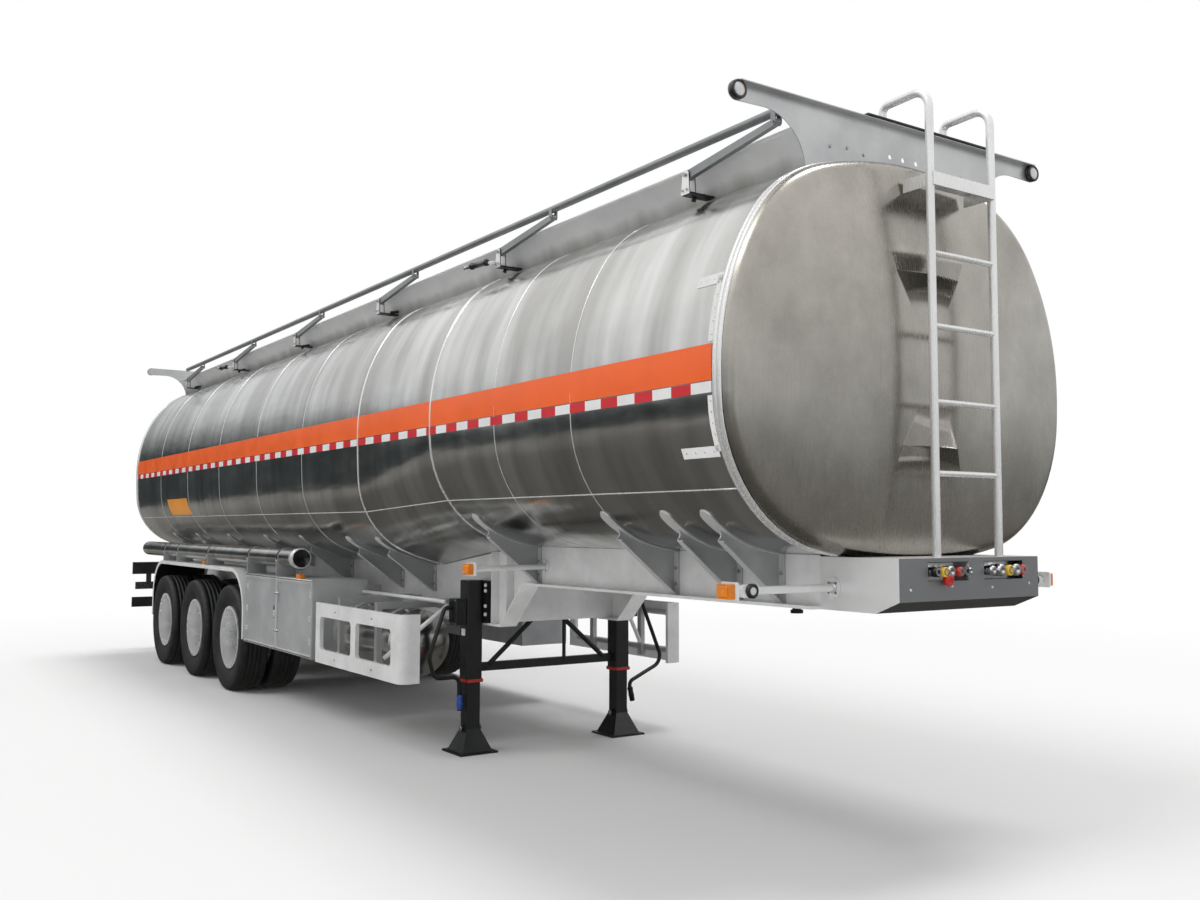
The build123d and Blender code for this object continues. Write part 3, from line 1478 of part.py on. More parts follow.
def make_hose_tube():
    mid = (tube_y, tube_z)
    x_front, x_rear = station(tube_front_station), station(tube_rear_station)
    tube = rod((x_rear, *mid), (x_front, *mid), tube_radius)
    tube = tube - rod((x_rear + tube_wall, *mid), (x_front + past, *mid), tube_radius - tube_wall)
    top_z = tube_z + tube_radius
    hinge_z = top_z + tube_hinge_rise
    hinge_s = tube_front_station + tube_hinge_inset
    gap_y = tube_arm_half + tube_ear_gap
    ear_y = gap_y + tube_ear
    ear_rear = hinge_s + tube_ear_length
    for low_y, high_y in ((tube_y - ear_y, tube_y - gap_y), (tube_y + gap_y, tube_y + ear_y)):
        tube = tube + block(tube_front_station, ear_rear, low_y, high_y, top_z - tube_wall, hinge_z + tube_eye_radius)
    tube = tube + cross_rod(hinge_s, tube_y - ear_y, tube_y + ear_y, hinge_z, tube_pin_radius)
    low_y, high_y = tube_y - tube_arm_half, tube_y + tube_arm_half
    eye_top = hinge_z + tube_eye_radius
    lid_rear = tube_front_station - lid_seat_gap
    lid = rod((station(lid_rear), *mid), (station(lid_rear - tube_lid), *mid), tube_radius + tube_lid_rim)
    lid = lid + block(lid_rear - tube_lid, lid_rear, low_y, high_y, top_z - tube_lid_rim, eye_top)
    lid = lid + block(lid_rear - tube_lid / 2, hinge_s, low_y, high_y, top_z + lid_arm_gap, eye_top)
    lid = lid + cross_rod(hinge_s, low_y, high_y, hinge_z, tube_eye_radius)
    lid = lid - cross_rod(hinge_s, low_y - past, high_y + past, hinge_z, tube_pin_radius + pin_gap)
    save("hose_tube", mirrored(tube))
    save("hose_tube_lid", mirrored(lid))
    clamps = [(cabinet_front_station + behind, cabinet_top_z) for behind in cabinet_saddles]
    clamps += [(arch_front_station + behind, arch_top_z) for behind in arch_saddles]
    return [mirrored(tube_clamp(along, base)) for along, base in clamps]


# A foot under the hose tube with the band round it
def tube_clamp(along, base):
    half = saddle_block / 2
    front_x, rear_x = station(along - half), station(along + half)
    mid = (tube_y, tube_z)
    inner = tube_radius + seat_gap
    outer = inner + tube_band
    foot = block(along - half, along + half, tube_y - outer, tube_y + outer, base, tube_z)
    clamp = foot + rod((rear_x, *mid), (front_x, *mid), outer)
    return clamp - rod((rear_x - past, *mid), (front_x + past, *mid), inner)


def make_reservoir():
    front = reservoir_front_station
    rear = front + reservoir_length
    mid = (drum_y, drum_z)
    half = reservoir_length / 2
    shoulder = half - reservoir_dish
    dish = (reservoir_radius**2 + reservoir_dish**2) / (2 * reservoir_dish)
    turn = asin(reservoir_radius / dish) / 2
    bulge = (half - dish + dish * cos(turn), dish * sin(turn), 0)
    profile = [
        Line((-half, 0, 0), (half, 0, 0)),
        ThreePointArc((half, 0, 0), bulge, (shoulder, reservoir_radius, 0)),
        Line((shoulder, reservoir_radius, 0), (-shoulder, reservoir_radius, 0)),
        ThreePointArc((-shoulder, reservoir_radius, 0), (-bulge[0], bulge[1], 0), (-half, 0, 0)),
    ]
    drum = revolve(make_face(Wire(profile)), Axis.X)
    save("reservoir", Pos(station(front + half), *mid) * drum)
    bands = []
    band_half = band_width / 2
    inner = reservoir_radius + seat_gap
    outer = inner + band_thickness
    for along in (front + band_inset, rear - band_inset):
        ahead, after = along - band_half, along + band_half
        ring = rod((station(after), *mid), (station(ahead), *mid), outer)
        ring = ring - rod((station(after + past), *mid), (station(ahead - past), *mid), inner)
        arm = block(ahead, after, drum_y - band_neck / 2, -beam_half - seat_gap, arm_low_z, arm_low_z + band_width)
        neck = block(ahead, after, drum_y - band_neck / 2, drum_y + band_neck / 2,
                     drum_z + inner + past, arm_low_z + past)
        bands.append(ring + arm + neck + mirrored(side_arm_brace(along)))
    return bands


# Foot valves under the belly, and the pipes from them to the right cabinet
def make_discharge_pipes():
    top_z = rear_floor_z - seat_gap
    flange_z = top_z - foot_flange
    valve_z = flange_z - foot_valve_height
    run_z = rear_beam_z - pipe_beam_gap - pipe_radius
    end_y = seat_gap - cabinet_inner_y
    pipes = []
    for number in range(pipe_count):
        x = station(pipe_front_station + number * pipe_pitch)
        flange = Pos(x, 0, flange_z + foot_flange / 2) * Cylinder(foot_flange_radius, foot_flange)
        valve = Pos(x, 0, valve_z + foot_valve_height / 2) * Cylinder(foot_valve_radius, foot_valve_height)
        pipe = bent_bar([(x, 0, valve_z + past), (x, 0, run_z), (x, end_y, run_z)], (pipe_bend,), pipe_radius)
        end = rod((x, end_y + end_flange, run_z), (x, end_y, run_z), end_flange_radius)
        pipes.append(flange + valve + pipe + end)
    save("discharge_pipes", *pipes)


# Ends
def make_ladder():
    top_z = wing_tip_z + wing_tip_radius + ladder_hoop
    foot_z = wing_tip_z + wing_tip_radius + seat_gap
    ladder = None
    for side in (-1, 1):
        y = ladder_y + side * ladder_half
        path = FilletPolyline(
            (station(ladder_station), y, box_top_z),
            (station(ladder_station), y, top_z),
            (station(handle_end_station), y, top_z - handle_fall),
            (station(handle_end_station), y, foot_z),
            radius=[handle_bend, handle_end_bend],
        )
        section = Plane(origin=path @ 0, z_dir=path % 0) * Circle(stile_radius)
        stile = sweep(section, path)
        ladder = stile if ladder is None else ladder + stile
    low_y, high_y = ladder_y - ladder_half, ladder_y + ladder_half
    for rise in rung_rises:
        ladder = ladder + cross_rod(ladder_station, low_y, high_y, box_top_z + rise, rung_radius)
    low_y, high_y = low_y - step_shift, high_y - step_shift
    wall = step_wall
    step = block(step_front_station, step_rear_station, low_y, high_y, step_z, step_z + step_height)
    hollow = block(step_front_station + wall, step_rear_station + past, low_y + wall, high_y - wall,
                   step_z - past, step_z + step_height - wall)
    save("ladder", ladder + (step - hollow))


# Service couplings on their shelf: Y, radius, how far each stays behind the foremost one
def make_couplings():
    root = box_wall + shelf_depth - shelf_lip
    shapes = []
    for y, radius, behind in (
        (-290, 22, 10), (-240, 22, 4), (-187, 26, 14), (-135, 22, 0), (-85, 24, 8), (-42, 16, 20),
        (118, 22, 10), (176, 28, 4), (238, 24, 0), (300, 28, 10), (362, 24, 16),
    ):
        front_x = station(behind - coupling_reach)
        root_x = station(root)
        reach = front_x - root_x
        outline = Polyline(
            (0, 0, 0), (0, radius * coupling_stub, 0), (reach * coupling_neck, radius * coupling_stub, 0),
            (reach * coupling_neck, radius, 0), (reach * coupling_body, radius, 0),
            (reach * coupling_body, radius * coupling_face, 0), (reach, radius * coupling_face, 0),
            (reach, radius * coupling_bore, 0), (reach - coupling_recess, radius * coupling_bore, 0),
            (reach - coupling_recess, 0, 0),
            close=True,
        )
        shapes.append(Pos(root_x, y, slot_z) * revolve(make_face(outline), Axis.X))
    back = block(root, root + shelf_thickness, *shelf_span, slot_z - shelf_drop, slot_z + shelf_rise)
    save("service_couplings", back, *shapes)


def make_rear():
    rear = bumper_station
    front = rear - board_thickness
    bumper = block(front, rear, -board_half, board_half, *upper_board)
    bumper = bumper + block(front, rear, -board_half, board_half, *lower_board)
    half = bumper_arm / 2
    lamps = []
    gap_mid = (upper_board[0] + lower_board[1]) / 2
    lamp_top = gap_mid + lamp_height / 2
    outer_y = board_half - lamp_inset
    bracket_y = outer_y - lamp_width / 2
    for middle in (beam_mid, -beam_mid):
        bumper = bumper + block(beam_rear_station, front, middle - half, middle + half, lower_board[0], upper_board[1])
    lamps += pair(block(rear - lamp_depth, rear, outer_y - lamp_width, outer_y, lamp_top - lamp_height, lamp_top))
    half = lamp_bracket / 2
    lamps += pair(block(front, rear - lamp_bracket_inset, bracket_y - half, bracket_y + half, lamp_top, upper_board[0]))
    save("rear_bumper", bumper)
    return lamps


def make_lamps(lamps):
    for plate, way in ((front_wing_station, -1), (rear_wing_station + plate_thickness, 1)):
        for side in (1, -1):
            start = (station(plate), side * wing_tip_y, wing_tip_z)
            end = (station(plate + way * tip_lamp_depth), side * wing_tip_y, wing_tip_z)
            lamps.append(rod(start, end, wing_tip_radius - tip_lamp_inset))
    length, width, height = side_marker_size
    outer_y = vehicle_half - side_marker_inset
    for along, base in zip(side_marker_stations, (cabinet_top_z, arch_top_z)):
        lamps += pair(block(along - length / 2, along + length / 2, outer_y - width, outer_y, base, base + height))
    save("lamps", *lamps)


make_tank()
make_wing_plates()
make_coaming()
make_walkway()
make_manholes()
make_handrail()
make_beams()
make_cross_members()
make_nose_box()
make_coupler_plate()
make_outriggers()
arm_lamps = make_marker_arms()
make_landing_gear()
make_wheels()
make_suspension()
side_brackets = make_mudguards()
make_cabinets()
side_brackets += make_side_guards()
side_brackets += make_hose_tube()
side_brackets += make_reservoir()
save("side_brackets", *side_brackets)
make_discharge_pipes()
make_ladder()
make_couplings()
rear_lamps = make_rear()
make_lamps(arm_lamps + rear_lamps)
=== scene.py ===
from math import atan2, cos, hypot, pi, radians, sin, sqrt

import bpy
from mathutils import Matrix, Vector


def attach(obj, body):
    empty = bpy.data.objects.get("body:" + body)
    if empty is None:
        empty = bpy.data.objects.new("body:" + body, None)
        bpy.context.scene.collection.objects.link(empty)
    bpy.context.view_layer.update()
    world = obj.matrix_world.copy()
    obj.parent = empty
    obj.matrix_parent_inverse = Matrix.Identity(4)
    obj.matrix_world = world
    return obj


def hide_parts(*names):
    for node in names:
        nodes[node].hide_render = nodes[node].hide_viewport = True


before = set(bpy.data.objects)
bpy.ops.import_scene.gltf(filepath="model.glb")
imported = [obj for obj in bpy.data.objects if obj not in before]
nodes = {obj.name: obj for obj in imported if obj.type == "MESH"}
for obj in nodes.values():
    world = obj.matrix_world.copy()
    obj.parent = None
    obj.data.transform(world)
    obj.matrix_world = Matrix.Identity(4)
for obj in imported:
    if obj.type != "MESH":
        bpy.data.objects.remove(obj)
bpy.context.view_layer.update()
scene = bpy.context.scene

# The tank's places in metres. A station is measured rearwards from the nose box's front face.
tank = {
    "noseX": 6.275,
    "half": 1.25,                       # half width
    "wideZ": 2.35,                      # height of the widest point
    "crownZ": 3.485,
    "upperArcs": (2.25, 0.72, 1.35),    # crown, corner and side radii
    "frontFloor": 1.45,
    "frontArcs": (3.36, 0.74, 6.0),     # belly, corner and side radii
    "rearFloor": 1.265,
    "rearArcs": (2.22, 0.64, 6.0),
    "headAt": 0.4,
    "coneAt": 3.39,
    "dropAt": 4.65,
    "tailAt": 12.2,
    "headDepth": 0.185,
    "dishRadius": 6.5,
    "knuckle": 0.06,
    "headInsets": [0.0, 0.001, 0.004, 0.009, 0.016, 0.025, 0.036, 0.048, 0.06, 0.09, 0.14, 0.22, 0.32,
                   0.45, 0.6],
    "headShares": [0.45, 0.25, 0.1],    # the innermost rows, as shares of the way out
}


def at(station):
    return tank["noseX"] - station


# Materials


def rgb(hexText):
    values = [int(hexText[n:n + 2], 16) / 255 for n in (1, 3, 5)]
    return tuple(v / 12.92 if v <= 0.04045 else ((v + 0.055) / 1.055) ** 2.4 for v in values) + (1.0,)


# Adds a node, sets its values and links its inputs: a link's value is (node, output)
def addNode(tree, kind, settings=None, links=None, values=None):
    node = tree.nodes.new(kind)
    for key, value in (settings or {}).items():
        setattr(node, key, value)
    for key, value in (values or {}).items():
        node.inputs[key].default_value = value
    for key, (source, output) in (links or {}).items():
        tree.links.new(source.outputs[output], node.inputs[key])
    return node


def newMaterial(name, **values):
    material = bpy.data.materials.new(name)
    material.use_nodes = True
    tree = material.node_tree
    shader = tree.nodes["Principled BSDF"]
    for key, value in values.items():
        shader.inputs[key.replace("_", " ")].default_value = value
    place = addNode(tree, "ShaderNodeTexCoord")
    return material, tree, shader, place


# A stop's colour, from sRGB hex text, a bare value for a grey, or a linear colour as it is
def stopColor(value):
    if isinstance(value, str):
        return rgb(value)
    return value if isinstance(value, tuple) else (value, value, value, 1.0)


def ramp(tree, source, stops):
    node = addNode(tree, "ShaderNodeValToRGB", links={"Fac": source})
    elements = node.color_ramp.elements
    while len(elements) < len(stops):
        elements.new(0.5)
    for element, (position, value) in zip(elements, stops):
        element.position = position
        element.color = stopColor(value)
    return node


# Noise on the piece's own place in metres, stretched where its marks run one way
def pattern(tree, place, scale, detail, roughness=0.5, stretch=None):
    spot = (place, "Object")
    if stretch:
        mapping = addNode(tree, "ShaderNodeMapping", links={"Vector": spot}, values={"Scale": stretch})
        spot = (mapping, "Vector")
    noise = addNode(tree, "ShaderNodeTexNoise", links={"Vector": spot},
                    values={"Scale": scale, "Detail": detail, "Roughness": roughness})
    return noise, "Fac"


# Feeds one socket of the shader with what lies between the stops
def feed(tree, shader, socket, source, stops):
    tree.links.new(ramp(tree, source, stops).outputs["Color"], shader.inputs[socket])


# Lets a pattern stand up by a depth in metres, over an earlier bump where there is one
def emboss(tree, shader, source, strength, depth, under=None):
    links = {"Height": source}
    if under:
        links["Normal"] = (under, "Normal")
    bump = addNode(tree, "ShaderNodeBump", links=links, values={"Strength": strength, "Distance": depth})
    tree.links.new(bump.outputs["Normal"], shader.inputs["Normal"])
    return bump


# What most finishes share: clouds vary the tone and the gloss, over a fine grain.
# A brushed finish takes its gloss from the grain instead.
def cloudedFinish(name, clouds, tones, glosses, grain=None, brushed=False, **values):
    material, tree, shader, place = newMaterial(name, **values)
    cloud = pattern(tree, place, *clouds)
    feed(tree, shader, "Base Color", cloud, tones)
    if grain:
        marks = pattern(tree, place, *grain["noise"])
        emboss(tree, shader, marks, grain["strength"], grain["depth"])
    feed(tree, shader, "Roughness", marks if brushed else cloud, glosses)
    return material


# Lays a tone over a finish where a measure goes from start to end: the place ("Object") or the facing
# ("Normal") along an axis, either way round with bothWays, and blurred by upright runs
def overlay(material, tone, measure, axis, start, end, bothWays=False, runs=0.0):
    tree = material.node_tree
    shader = tree.nodes["Principled BSDF"]
    own = shader.inputs["Base Color"].links[0].from_socket
    place = addNode(tree, "ShaderNodeTexCoord")
    value = (addNode(tree, "ShaderNodeSeparateXYZ", links={"Vector": (place, measure)}), axis)
    if bothWays:
        value = (addNode(tree, "ShaderNodeMath", {"operation": "ABSOLUTE"}, {0: value}), "Value")
    if runs:
        runsNoise = pattern(tree, place, 1.0, 5.0, stretch=(5.0, 0.5, 0.5))
        value = (addNode(tree, "ShaderNodeMath", {"operation": "MULTIPLY_ADD"}, {0: runsNoise, 2: value},
                         {1: runs}), "Value")
    limits = {"From Min": start, "From Max": end}
    share = addNode(tree, "ShaderNodeMapRange", links={"Value": value}, values=limits)
    links = {0: (share, "Result")}
    if isinstance(tone, tuple):
        cloud = pattern(tree, place, 3.0, 5.0)
        links[7] = (ramp(tree, cloud, [(0.3, tone[0]), (0.7, tone[1])]), "Color")
    mix = addNode(tree, "ShaderNodeMix", {"data_type": "RGBA"}, links)
    if isinstance(tone, str):
        mix.inputs[7].default_value = rgb(tone)
    tree.links.new(own, mix.inputs[6])
    tree.links.new(mix.outputs[2], shader.inputs["Base Color"])


# Mill-finished sheet, rolled, then bright from wiping: soft mirror with broad waves and faint rolling lines
def polishedAluminiumSheet():
    material, tree, shader, place = newMaterial("polishedAluminiumSheet", Metallic=1.0)
    smear = pattern(tree, place, 2.2, 5.0, 0.65, (1.0, 1.0, 3.5))
    feed(tree, shader, "Roughness", smear, [(0.3, 0.13), (0.75, 0.27)])
    cloud = pattern(tree, place, 1.6, 4.0)
    panel = pattern(tree, place, 1.0, 3.0, 0.55, (3.2, 0.5, 0.42))
    # Base colour: random wiping clouds plus upright streaks, which are partly a painted reflection of streaky
    # surroundings
    wipesAndPaintedReflection = addNode(tree, "ShaderNodeMath", {"operation": "MULTIPLY_ADD"}, {0: cloud, 2: panel}, {1: 0.3})
    feed(tree, shader, "Base Color", (wipesAndPaintedReflection, "Value"), [(0.52, "#b4b3b0"), (0.8, "#dededc")])
    wave = pattern(tree, place, 1.3, 2.0, 0.45, (1.0, 1.0, 3.5))
    lines = pattern(tree, place, 1.0, 3.0, stretch=(260.0, 6.0, 6.0))
    waves = emboss(tree, shader, wave, 1.0, 0.006)
    streaks = emboss(tree, shader, panel, 1.0, 0.005, waves)
    emboss(tree, shader, lines, 0.12, 0.0004, streaks)
    return material


# Brushed plate: rougher, with short upright and level brush marks
def brushedAluminiumPlate(name, low, high, roughness=(0.3, 0.42), metal=1.0, grain=0.25):
    marks = {"noise": (1.0, 4.0, 0.7, (90.0, 90.0, 4.0)), "strength": grain, "depth": 0.0006}
    return cloudedFinish(name, (2.1, 7.0, 0.62), [(0.3, low), (0.7, high)],
                         [(0.25, roughness[0]), (0.75, roughness[1])], marks, True, Metallic=metal)


# Brushed nose box: bright sides, with painted shade making the front face darker and the underside near black
def nosePlatePaintedShade():
    material = brushedAluminiumPlate("nosePlatePaintedShade", "#e2e3e2", "#f4f4f3", (0.32, 0.44), 0.35)
    # Painted shade: faces turned forward take a mid grey, faces turned downwards a near black
    overlay(material, "#808184", "Normal", "X", 0.4, 0.6)
    overlay(material, "#3a3a38", "Normal", "Z", -0.3, -0.5)
    return material


# Cut and folded plate with painted shade: the faces across one axis take one tone, all other facings another,
# one tone painted as lit and the other as shaded
def facingShadedPlate(name, axis, face, edge):
    material = brushedAluminiumPlate(name, edge[0], edge[1], (0.34, 0.46), 0.55)
    overlay(material, face, "Normal", axis, 0.8, 0.95, bothWays=True)
    return material


# Coaming sheet: bright above, greyer towards its foot in streaky runs
def coamingGreyToFoot():
    material = brushedAluminiumPlate("coamingSheet", "#dcdedf", "#f2f2f2", (0.26, 0.4), 0.45, 0.1)
    overlay(material, "#96978f", "Object", "Z", 3.53, 3.43, runs=0.12)
    return material


# Lamps: amber mouldings, but dark housings behind the rear boards and red glass at their rear faces
def lampMoulding():
    material = glossFitting("lampMoulding", "#f08a1c")
    overlay(material, "#26282a", "Object", "X", -6.0, -6.0001)
    overlay(material, "#a3141a", "Object", "X", -6.3235, -6.3236)
    return material


# Sprayed enamel on steel: slight orange peel, a little grime in broad clouds
def enamelPaint(name, low, high, roughness=0.38, coat=0.25):
    peel = {"noise": (260.0, 2.0), "strength": 0.12, "depth": 0.0006}
    return cloudedFinish(name, (3.5, 8.0, 0.65), [(0.32, low), (0.62, high)],
                         [(0.3, roughness + 0.08), (0.7, roughness - 0.05)], peel,
                         Coat_Weight=coat, Coat_Roughness=0.15)


# Moulded tyre rubber: deep grey-black, dull, with dusty clouds
def tyreRubber():
    grain = {"noise": (420.0, 3.0), "strength": 0.25, "depth": 0.0008}
    return cloudedFinish("tyreRubber", (9.0, 7.0, 0.6), [(0.3, "#151617"), (0.72, "#2a2b2c")],
                         [(0.3, 0.5), (0.7, 0.72)], grain, IOR=1.5)


# Forged and spun wheel metal: bright at the lip, with painted shade deep in the bowl and faint random clouds
def spunWheelMetal():
    material, tree, shader, place = newMaterial("spunWheelMetal", Metallic=0.6)
    cloud = pattern(tree, place, 3.0, 3.0)
    split = addNode(tree, "ShaderNodeSeparateXYZ", links={"Vector": (place, "Object")})
    outward = addNode(tree, "ShaderNodeMath", {"operation": "ABSOLUTE"}, {0: (split, "Y")})
    # Painted shade: the tone darkens with depth into the bowl, away from the lip
    depth = addNode(tree, "ShaderNodeMapRange", links={"Value": (outward, "Value")},
                    values={"From Min": 0.94, "From Max": 1.19})
    bowlShadeAndClouds = addNode(tree, "ShaderNodeMath", {"operation": "MULTIPLY_ADD"}, {0: cloud, 2: (depth, "Result")},
                    {1: 0.12})
    tones = [(0.05, "#b4b6b8"), (0.6, "#dcdddd"), (0.95, "#fbfbfa")]
    feed(tree, shader, "Base Color", (bowlShadeAndClouds, "Value"), tones)
    feed(tree, shader, "Roughness", cloud, [(0.3, 0.24), (0.7, 0.32)])
    emboss(tree, shader, pattern(tree, place, 1.0, 2.0, stretch=(3.0, 300.0, 3.0)), 0.05, 0.0004)
    return material


def dimmed(color, share):
    return tuple(v * share for v in rgb(color)[:3]) + (1.0,)


# Vinyl film laid on the sheet: flat colour with a soft gloss
def vinylFilm(name, color, roughness=0.3):
    return cloudedFinish(name, (5.0, 5.0), [(0.3, dimmed(color, 0.9)), (0.7, color)],
                         [(0.3, roughness), (0.7, roughness + 0.12)], Coat_Weight=0.12, Coat_Roughness=0.1)


# Moulded lens or painted small fitting: clear gloss over an even colour
def glossFitting(name, color, metallic=0.0, roughness=0.2):
    return cloudedFinish(name, (30.0, 4.0), [(0.3, dimmed(color, 0.82)), (0.65, color)],
                         [(0.3, roughness), (0.7, roughness + 0.1)],
                         Metallic=metallic, Coat_Weight=0.4, Coat_Roughness=0.08)


skin = polishedAluminiumSheet()
headPlate = brushedAluminiumPlate("brushedHeadPlate", "#9c9891", "#bcb8b0", (0.2, 0.32), 1.0, 0.15)
plate = brushedAluminiumPlate("millAluminiumPlate", "#b4b6b7", "#d2d3d3", (0.3, 0.42), 0.75)
coamingSheet = coamingGreyToFoot()
# Bracket plates: Y-facing faces painted lit white, all other facings painted shadow in near black
bracketPlate = facingShadedPlate("handrailBracketPlate", "Y", ("#e4e4e2", "#f4f4f3"), ("#26282a", "#3c3f41"))
# Gussets: X-facing faces in painted shade, all other facings painted lit
gussetPlate = facingShadedPlate("gussetPlate", "X", ("#a0a3a5", "#babcbd"), ("#d8d9d9", "#ededec"))
railMetal = brushedAluminiumPlate("anodisedRailMetal", "#85888a", "#a3a5a6", (0.3, 0.42), 0.7)
brightRing = brushedAluminiumPlate("brightWeldRing", "#e2e2e1", "#f3f3f2", (0.22, 0.3), 0.6, 0.0)
framePaint = enamelPaint("paleFrameEnamel", "#d2d3d2", "#e8e9e8")
paintedShadeNosePlate = nosePlatePaintedShade()
cabinetPlate = brushedAluminiumPlate("brushedCabinetPlate", "#b4b6b8", "#d4d5d6", (0.36, 0.5), 0.5)
lampFinish = lampMoulding()
blackPaint = enamelPaint("blackFrameEnamel", "#0d0e0f", "#1b1d1f", 0.42, 0.15)
rubber = tyreRubber()
wheelMetal = spunWheelMetal()
orangeFilm = vinylFilm("orangeStripeFilm", "#fb6410")
redFilm = vinylFilm("redTapeFilm", "#d4202a")
whiteFilm = vinylFilm("whiteTapeFilm", "#ededec")
amberLens = glossFitting("amberLens", "#f08a1c")
chromeFitting = glossFitting("chromeCoupling", "#d8d8d8", 1.0, 0.12)
placardFilm = vinylFilm("orangePlacardFilm", "#e8951f", 0.35)
redLens = glossFitting("redLens", "#b3151b")
paleLens = glossFitting("paleLens", "#dfe3e6", 0.0, 0.12)
blackPlastic = glossFitting("blackMouldedPlastic", "#141516", 0.0, 0.35)
darkGloss = glossFitting("darkGlossPane", "#0b0c0d", 0.0, 0.06)
yellowCap = glossFitting("yellowCouplingCap", "#f0c419", 0.0, 0.3)
redCap = glossFitting("redCouplingCap", "#c3221f", 0.0, 0.32)
blueGrip = glossFitting("blueGripSleeve", "#2156b8", 0.0, 0.4)
whiteEnamel = enamelPaint("whiteEnamel", "#dcdddc", "#f2f2f1", 0.32)
ribPlastic = enamelPaint("greyRibPlastic", "#4b4d4f", "#7c7f81", 0.5, 0.0)
blackRubber = enamelPaint("blackEpdmRubber", "#0c0d0d", "#1a1b1b", 0.55, 0.0)
nutSteel = brushedAluminiumPlate("zincPlatedSteel", "#a2a4a5", "#c9cbcc", (0.22, 0.34))
brightTrim = brushedAluminiumPlate("brightTrimStrip", "#dfe0e0", "#f4f4f3", (0.2, 0.3), 0.5, 0.0)
print("materials made")


# Mesh helpers


def meshObject(name, points, faces, material, body="trailer", smooth=True, indices=None):
    mesh = bpy.data.meshes.new(name)
    mesh.from_pydata([tuple(p) for p in points], [], faces)
    for entry in (material if isinstance(material, (list, tuple)) else [material]):
        mesh.materials.append(entry)
    if indices:
        mesh.polygons.foreach_set("material_index", indices)
    mesh.polygons.foreach_set("use_smooth", [smooth] * len(mesh.polygons))
    mesh.validate()
    mesh.update()
    item = bpy.data.objects.new(name, mesh)
    scene.collection.objects.link(item)
    if body:
        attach(item, body)
    return item


# Faces between rows of points; every row has the same count
def rowFaces(rows, width, closed):
    faces = []
    last = width if closed else width - 1
    for row in range(rows - 1):
        for n in range(last):
            a, b = row * width + n, row * width + (n + 1) % width
            faces.append((a, b, b + width, a + width))
    return faces


# Turns a closed profile of (radius, y) points about a level axis through (x, z), with sipes cut in it
def tyreMesh(name, profile, x, z, steps, material, body, sipes):
    points = []
    for n in range(steps):
        angle = 2 * pi * n / steps
        for k, (radius, y) in enumerate(profile):
            reach = radius - (sipes["depth"] if k in sipes["points"] and n % 4 == 3 else 0.0)
            points.append((x + reach * sin(angle), y, z + reach * cos(angle)))
    width = len(profile)
    faces = []
    for n in range(steps):
        start, following = n * width, (n + 1) % steps * width
        for k in range(width):
            a, b = k, (k + 1) % width
            faces.append((start + a, start + b, following + b, following + a))
    return meshObject(name, points, faces, material, body)


# Tank section


def sectionCorner(arcs, endZ, up):
    crown, corner, side = arcs
    crownMid, sideMid = (0.0, endZ - up * crown), (tank["half"] - side, tank["wideZ"])
    dy, dz = sideMid[0] - crownMid[0], sideMid[1] - crownMid[1]
    apart = hypot(dy, dz)
    along = ((crown - corner) ** 2 - (side - corner) ** 2 + apart ** 2) / (2 * apart)
    across = sqrt((crown - corner) ** 2 - along ** 2)
    picks = [(crownMid[0] + (along * dy - turn * across * dz) / apart,
              crownMid[1] + (along * dz + turn * across * dy) / apart) for turn in (1, -1)]
    return max(picks), crownMid, sideMid


# Points down one side, from the crown or the belly to the widest point
def quarterPoints(arcs, endZ, up, grow, counts):
    crown, corner, side = arcs
    centre, crownMid, sideMid = sectionCorner(arcs, endZ, up)
    first = atan2(centre[1] - crownMid[1], centre[0] - crownMid[0])
    second = atan2(centre[1] - sideMid[1], centre[0] - sideMid[0])
    points = []
    for mid, radius, start, end, count in (
        (crownMid, crown, up * pi / 2, first, counts[0]),
        (centre, corner, first, second, counts[1]),
        (sideMid, side, second, 0.0, counts[2]),
    ):
        for n in range(count):
            angle = start + (end - start) * n / count
            points.append((mid[0] + (radius + grow) * cos(angle), mid[1] + (radius + grow) * sin(angle)))
    points.append((tank["half"] + grow, tank["wideZ"]))
    return points


arcCounts = (14, 14, 12)


def sectionPoints(arcs, floorZ, grow=0.0):
    top = quarterPoints(tank["upperArcs"], tank["crownZ"], 1, grow, arcCounts)
    low = quarterPoints(arcs, floorZ, -1, grow, arcCounts)
    right = top + low[-2::-1]
    left = [(-y, z) for y, z in right[-2:0:-1]]
    return right + left


# How far along the cone a station lies, from 0 to 1
def coneShare(station):
    return min(max((station - tank["coneAt"]) / (tank["dropAt"] - tank["coneAt"]), 0.0), 1.0)


# The outline at a station, grown outwards; between the cone's ends it blends
def outlineAt(station, grow=0.0):
    front = sectionPoints(tank["frontArcs"], tank["frontFloor"], grow)
    rear = sectionPoints(tank["rearArcs"], tank["rearFloor"], grow)
    share = coneShare(station)
    return [(a[0] + (b[0] - a[0]) * share, a[1] + (b[1] - a[1]) * share) for a, b in zip(front, rear)]


def skinLoft(name, stations, replaced, growAt=lambda station: 0.0):
    points = []
    for station in stations:
        for y, z in outlineAt(station, growAt(station)):
            points.append((at(station), y, z))
    width = len(outlineAt(stations[0]))
    item = meshObject(name, points, rowFaces(len(stations), width, True), skin)
    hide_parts(replaced)


def spread(start, end, step):
    count = max(2, round((end - start) / step))
    return [start + (end - start) * n / count for n in range(count + 1)]


# Rolled sheets lie between the ring seams, and each one bulges a little
seams = {
    "front": [0.4, 1.64, 2.5, 3.39],
    "rear": [4.65, 5.9, 7.15, 8.4, 9.65, 10.9, 12.2],
    "bulge": 0.0016,
    "sink": 0.0008,
    "step": 0.06,
}


def bulgeAt(stationList):
    def grow(station):
        for start, end in zip(stationList, stationList[1:]):
            if start <= station <= end:
                share = (station - start) / (end - start)
                return seams["bulge"] * sin(pi * share) ** 2 - seams["sink"]
        return 0.0
    return grow


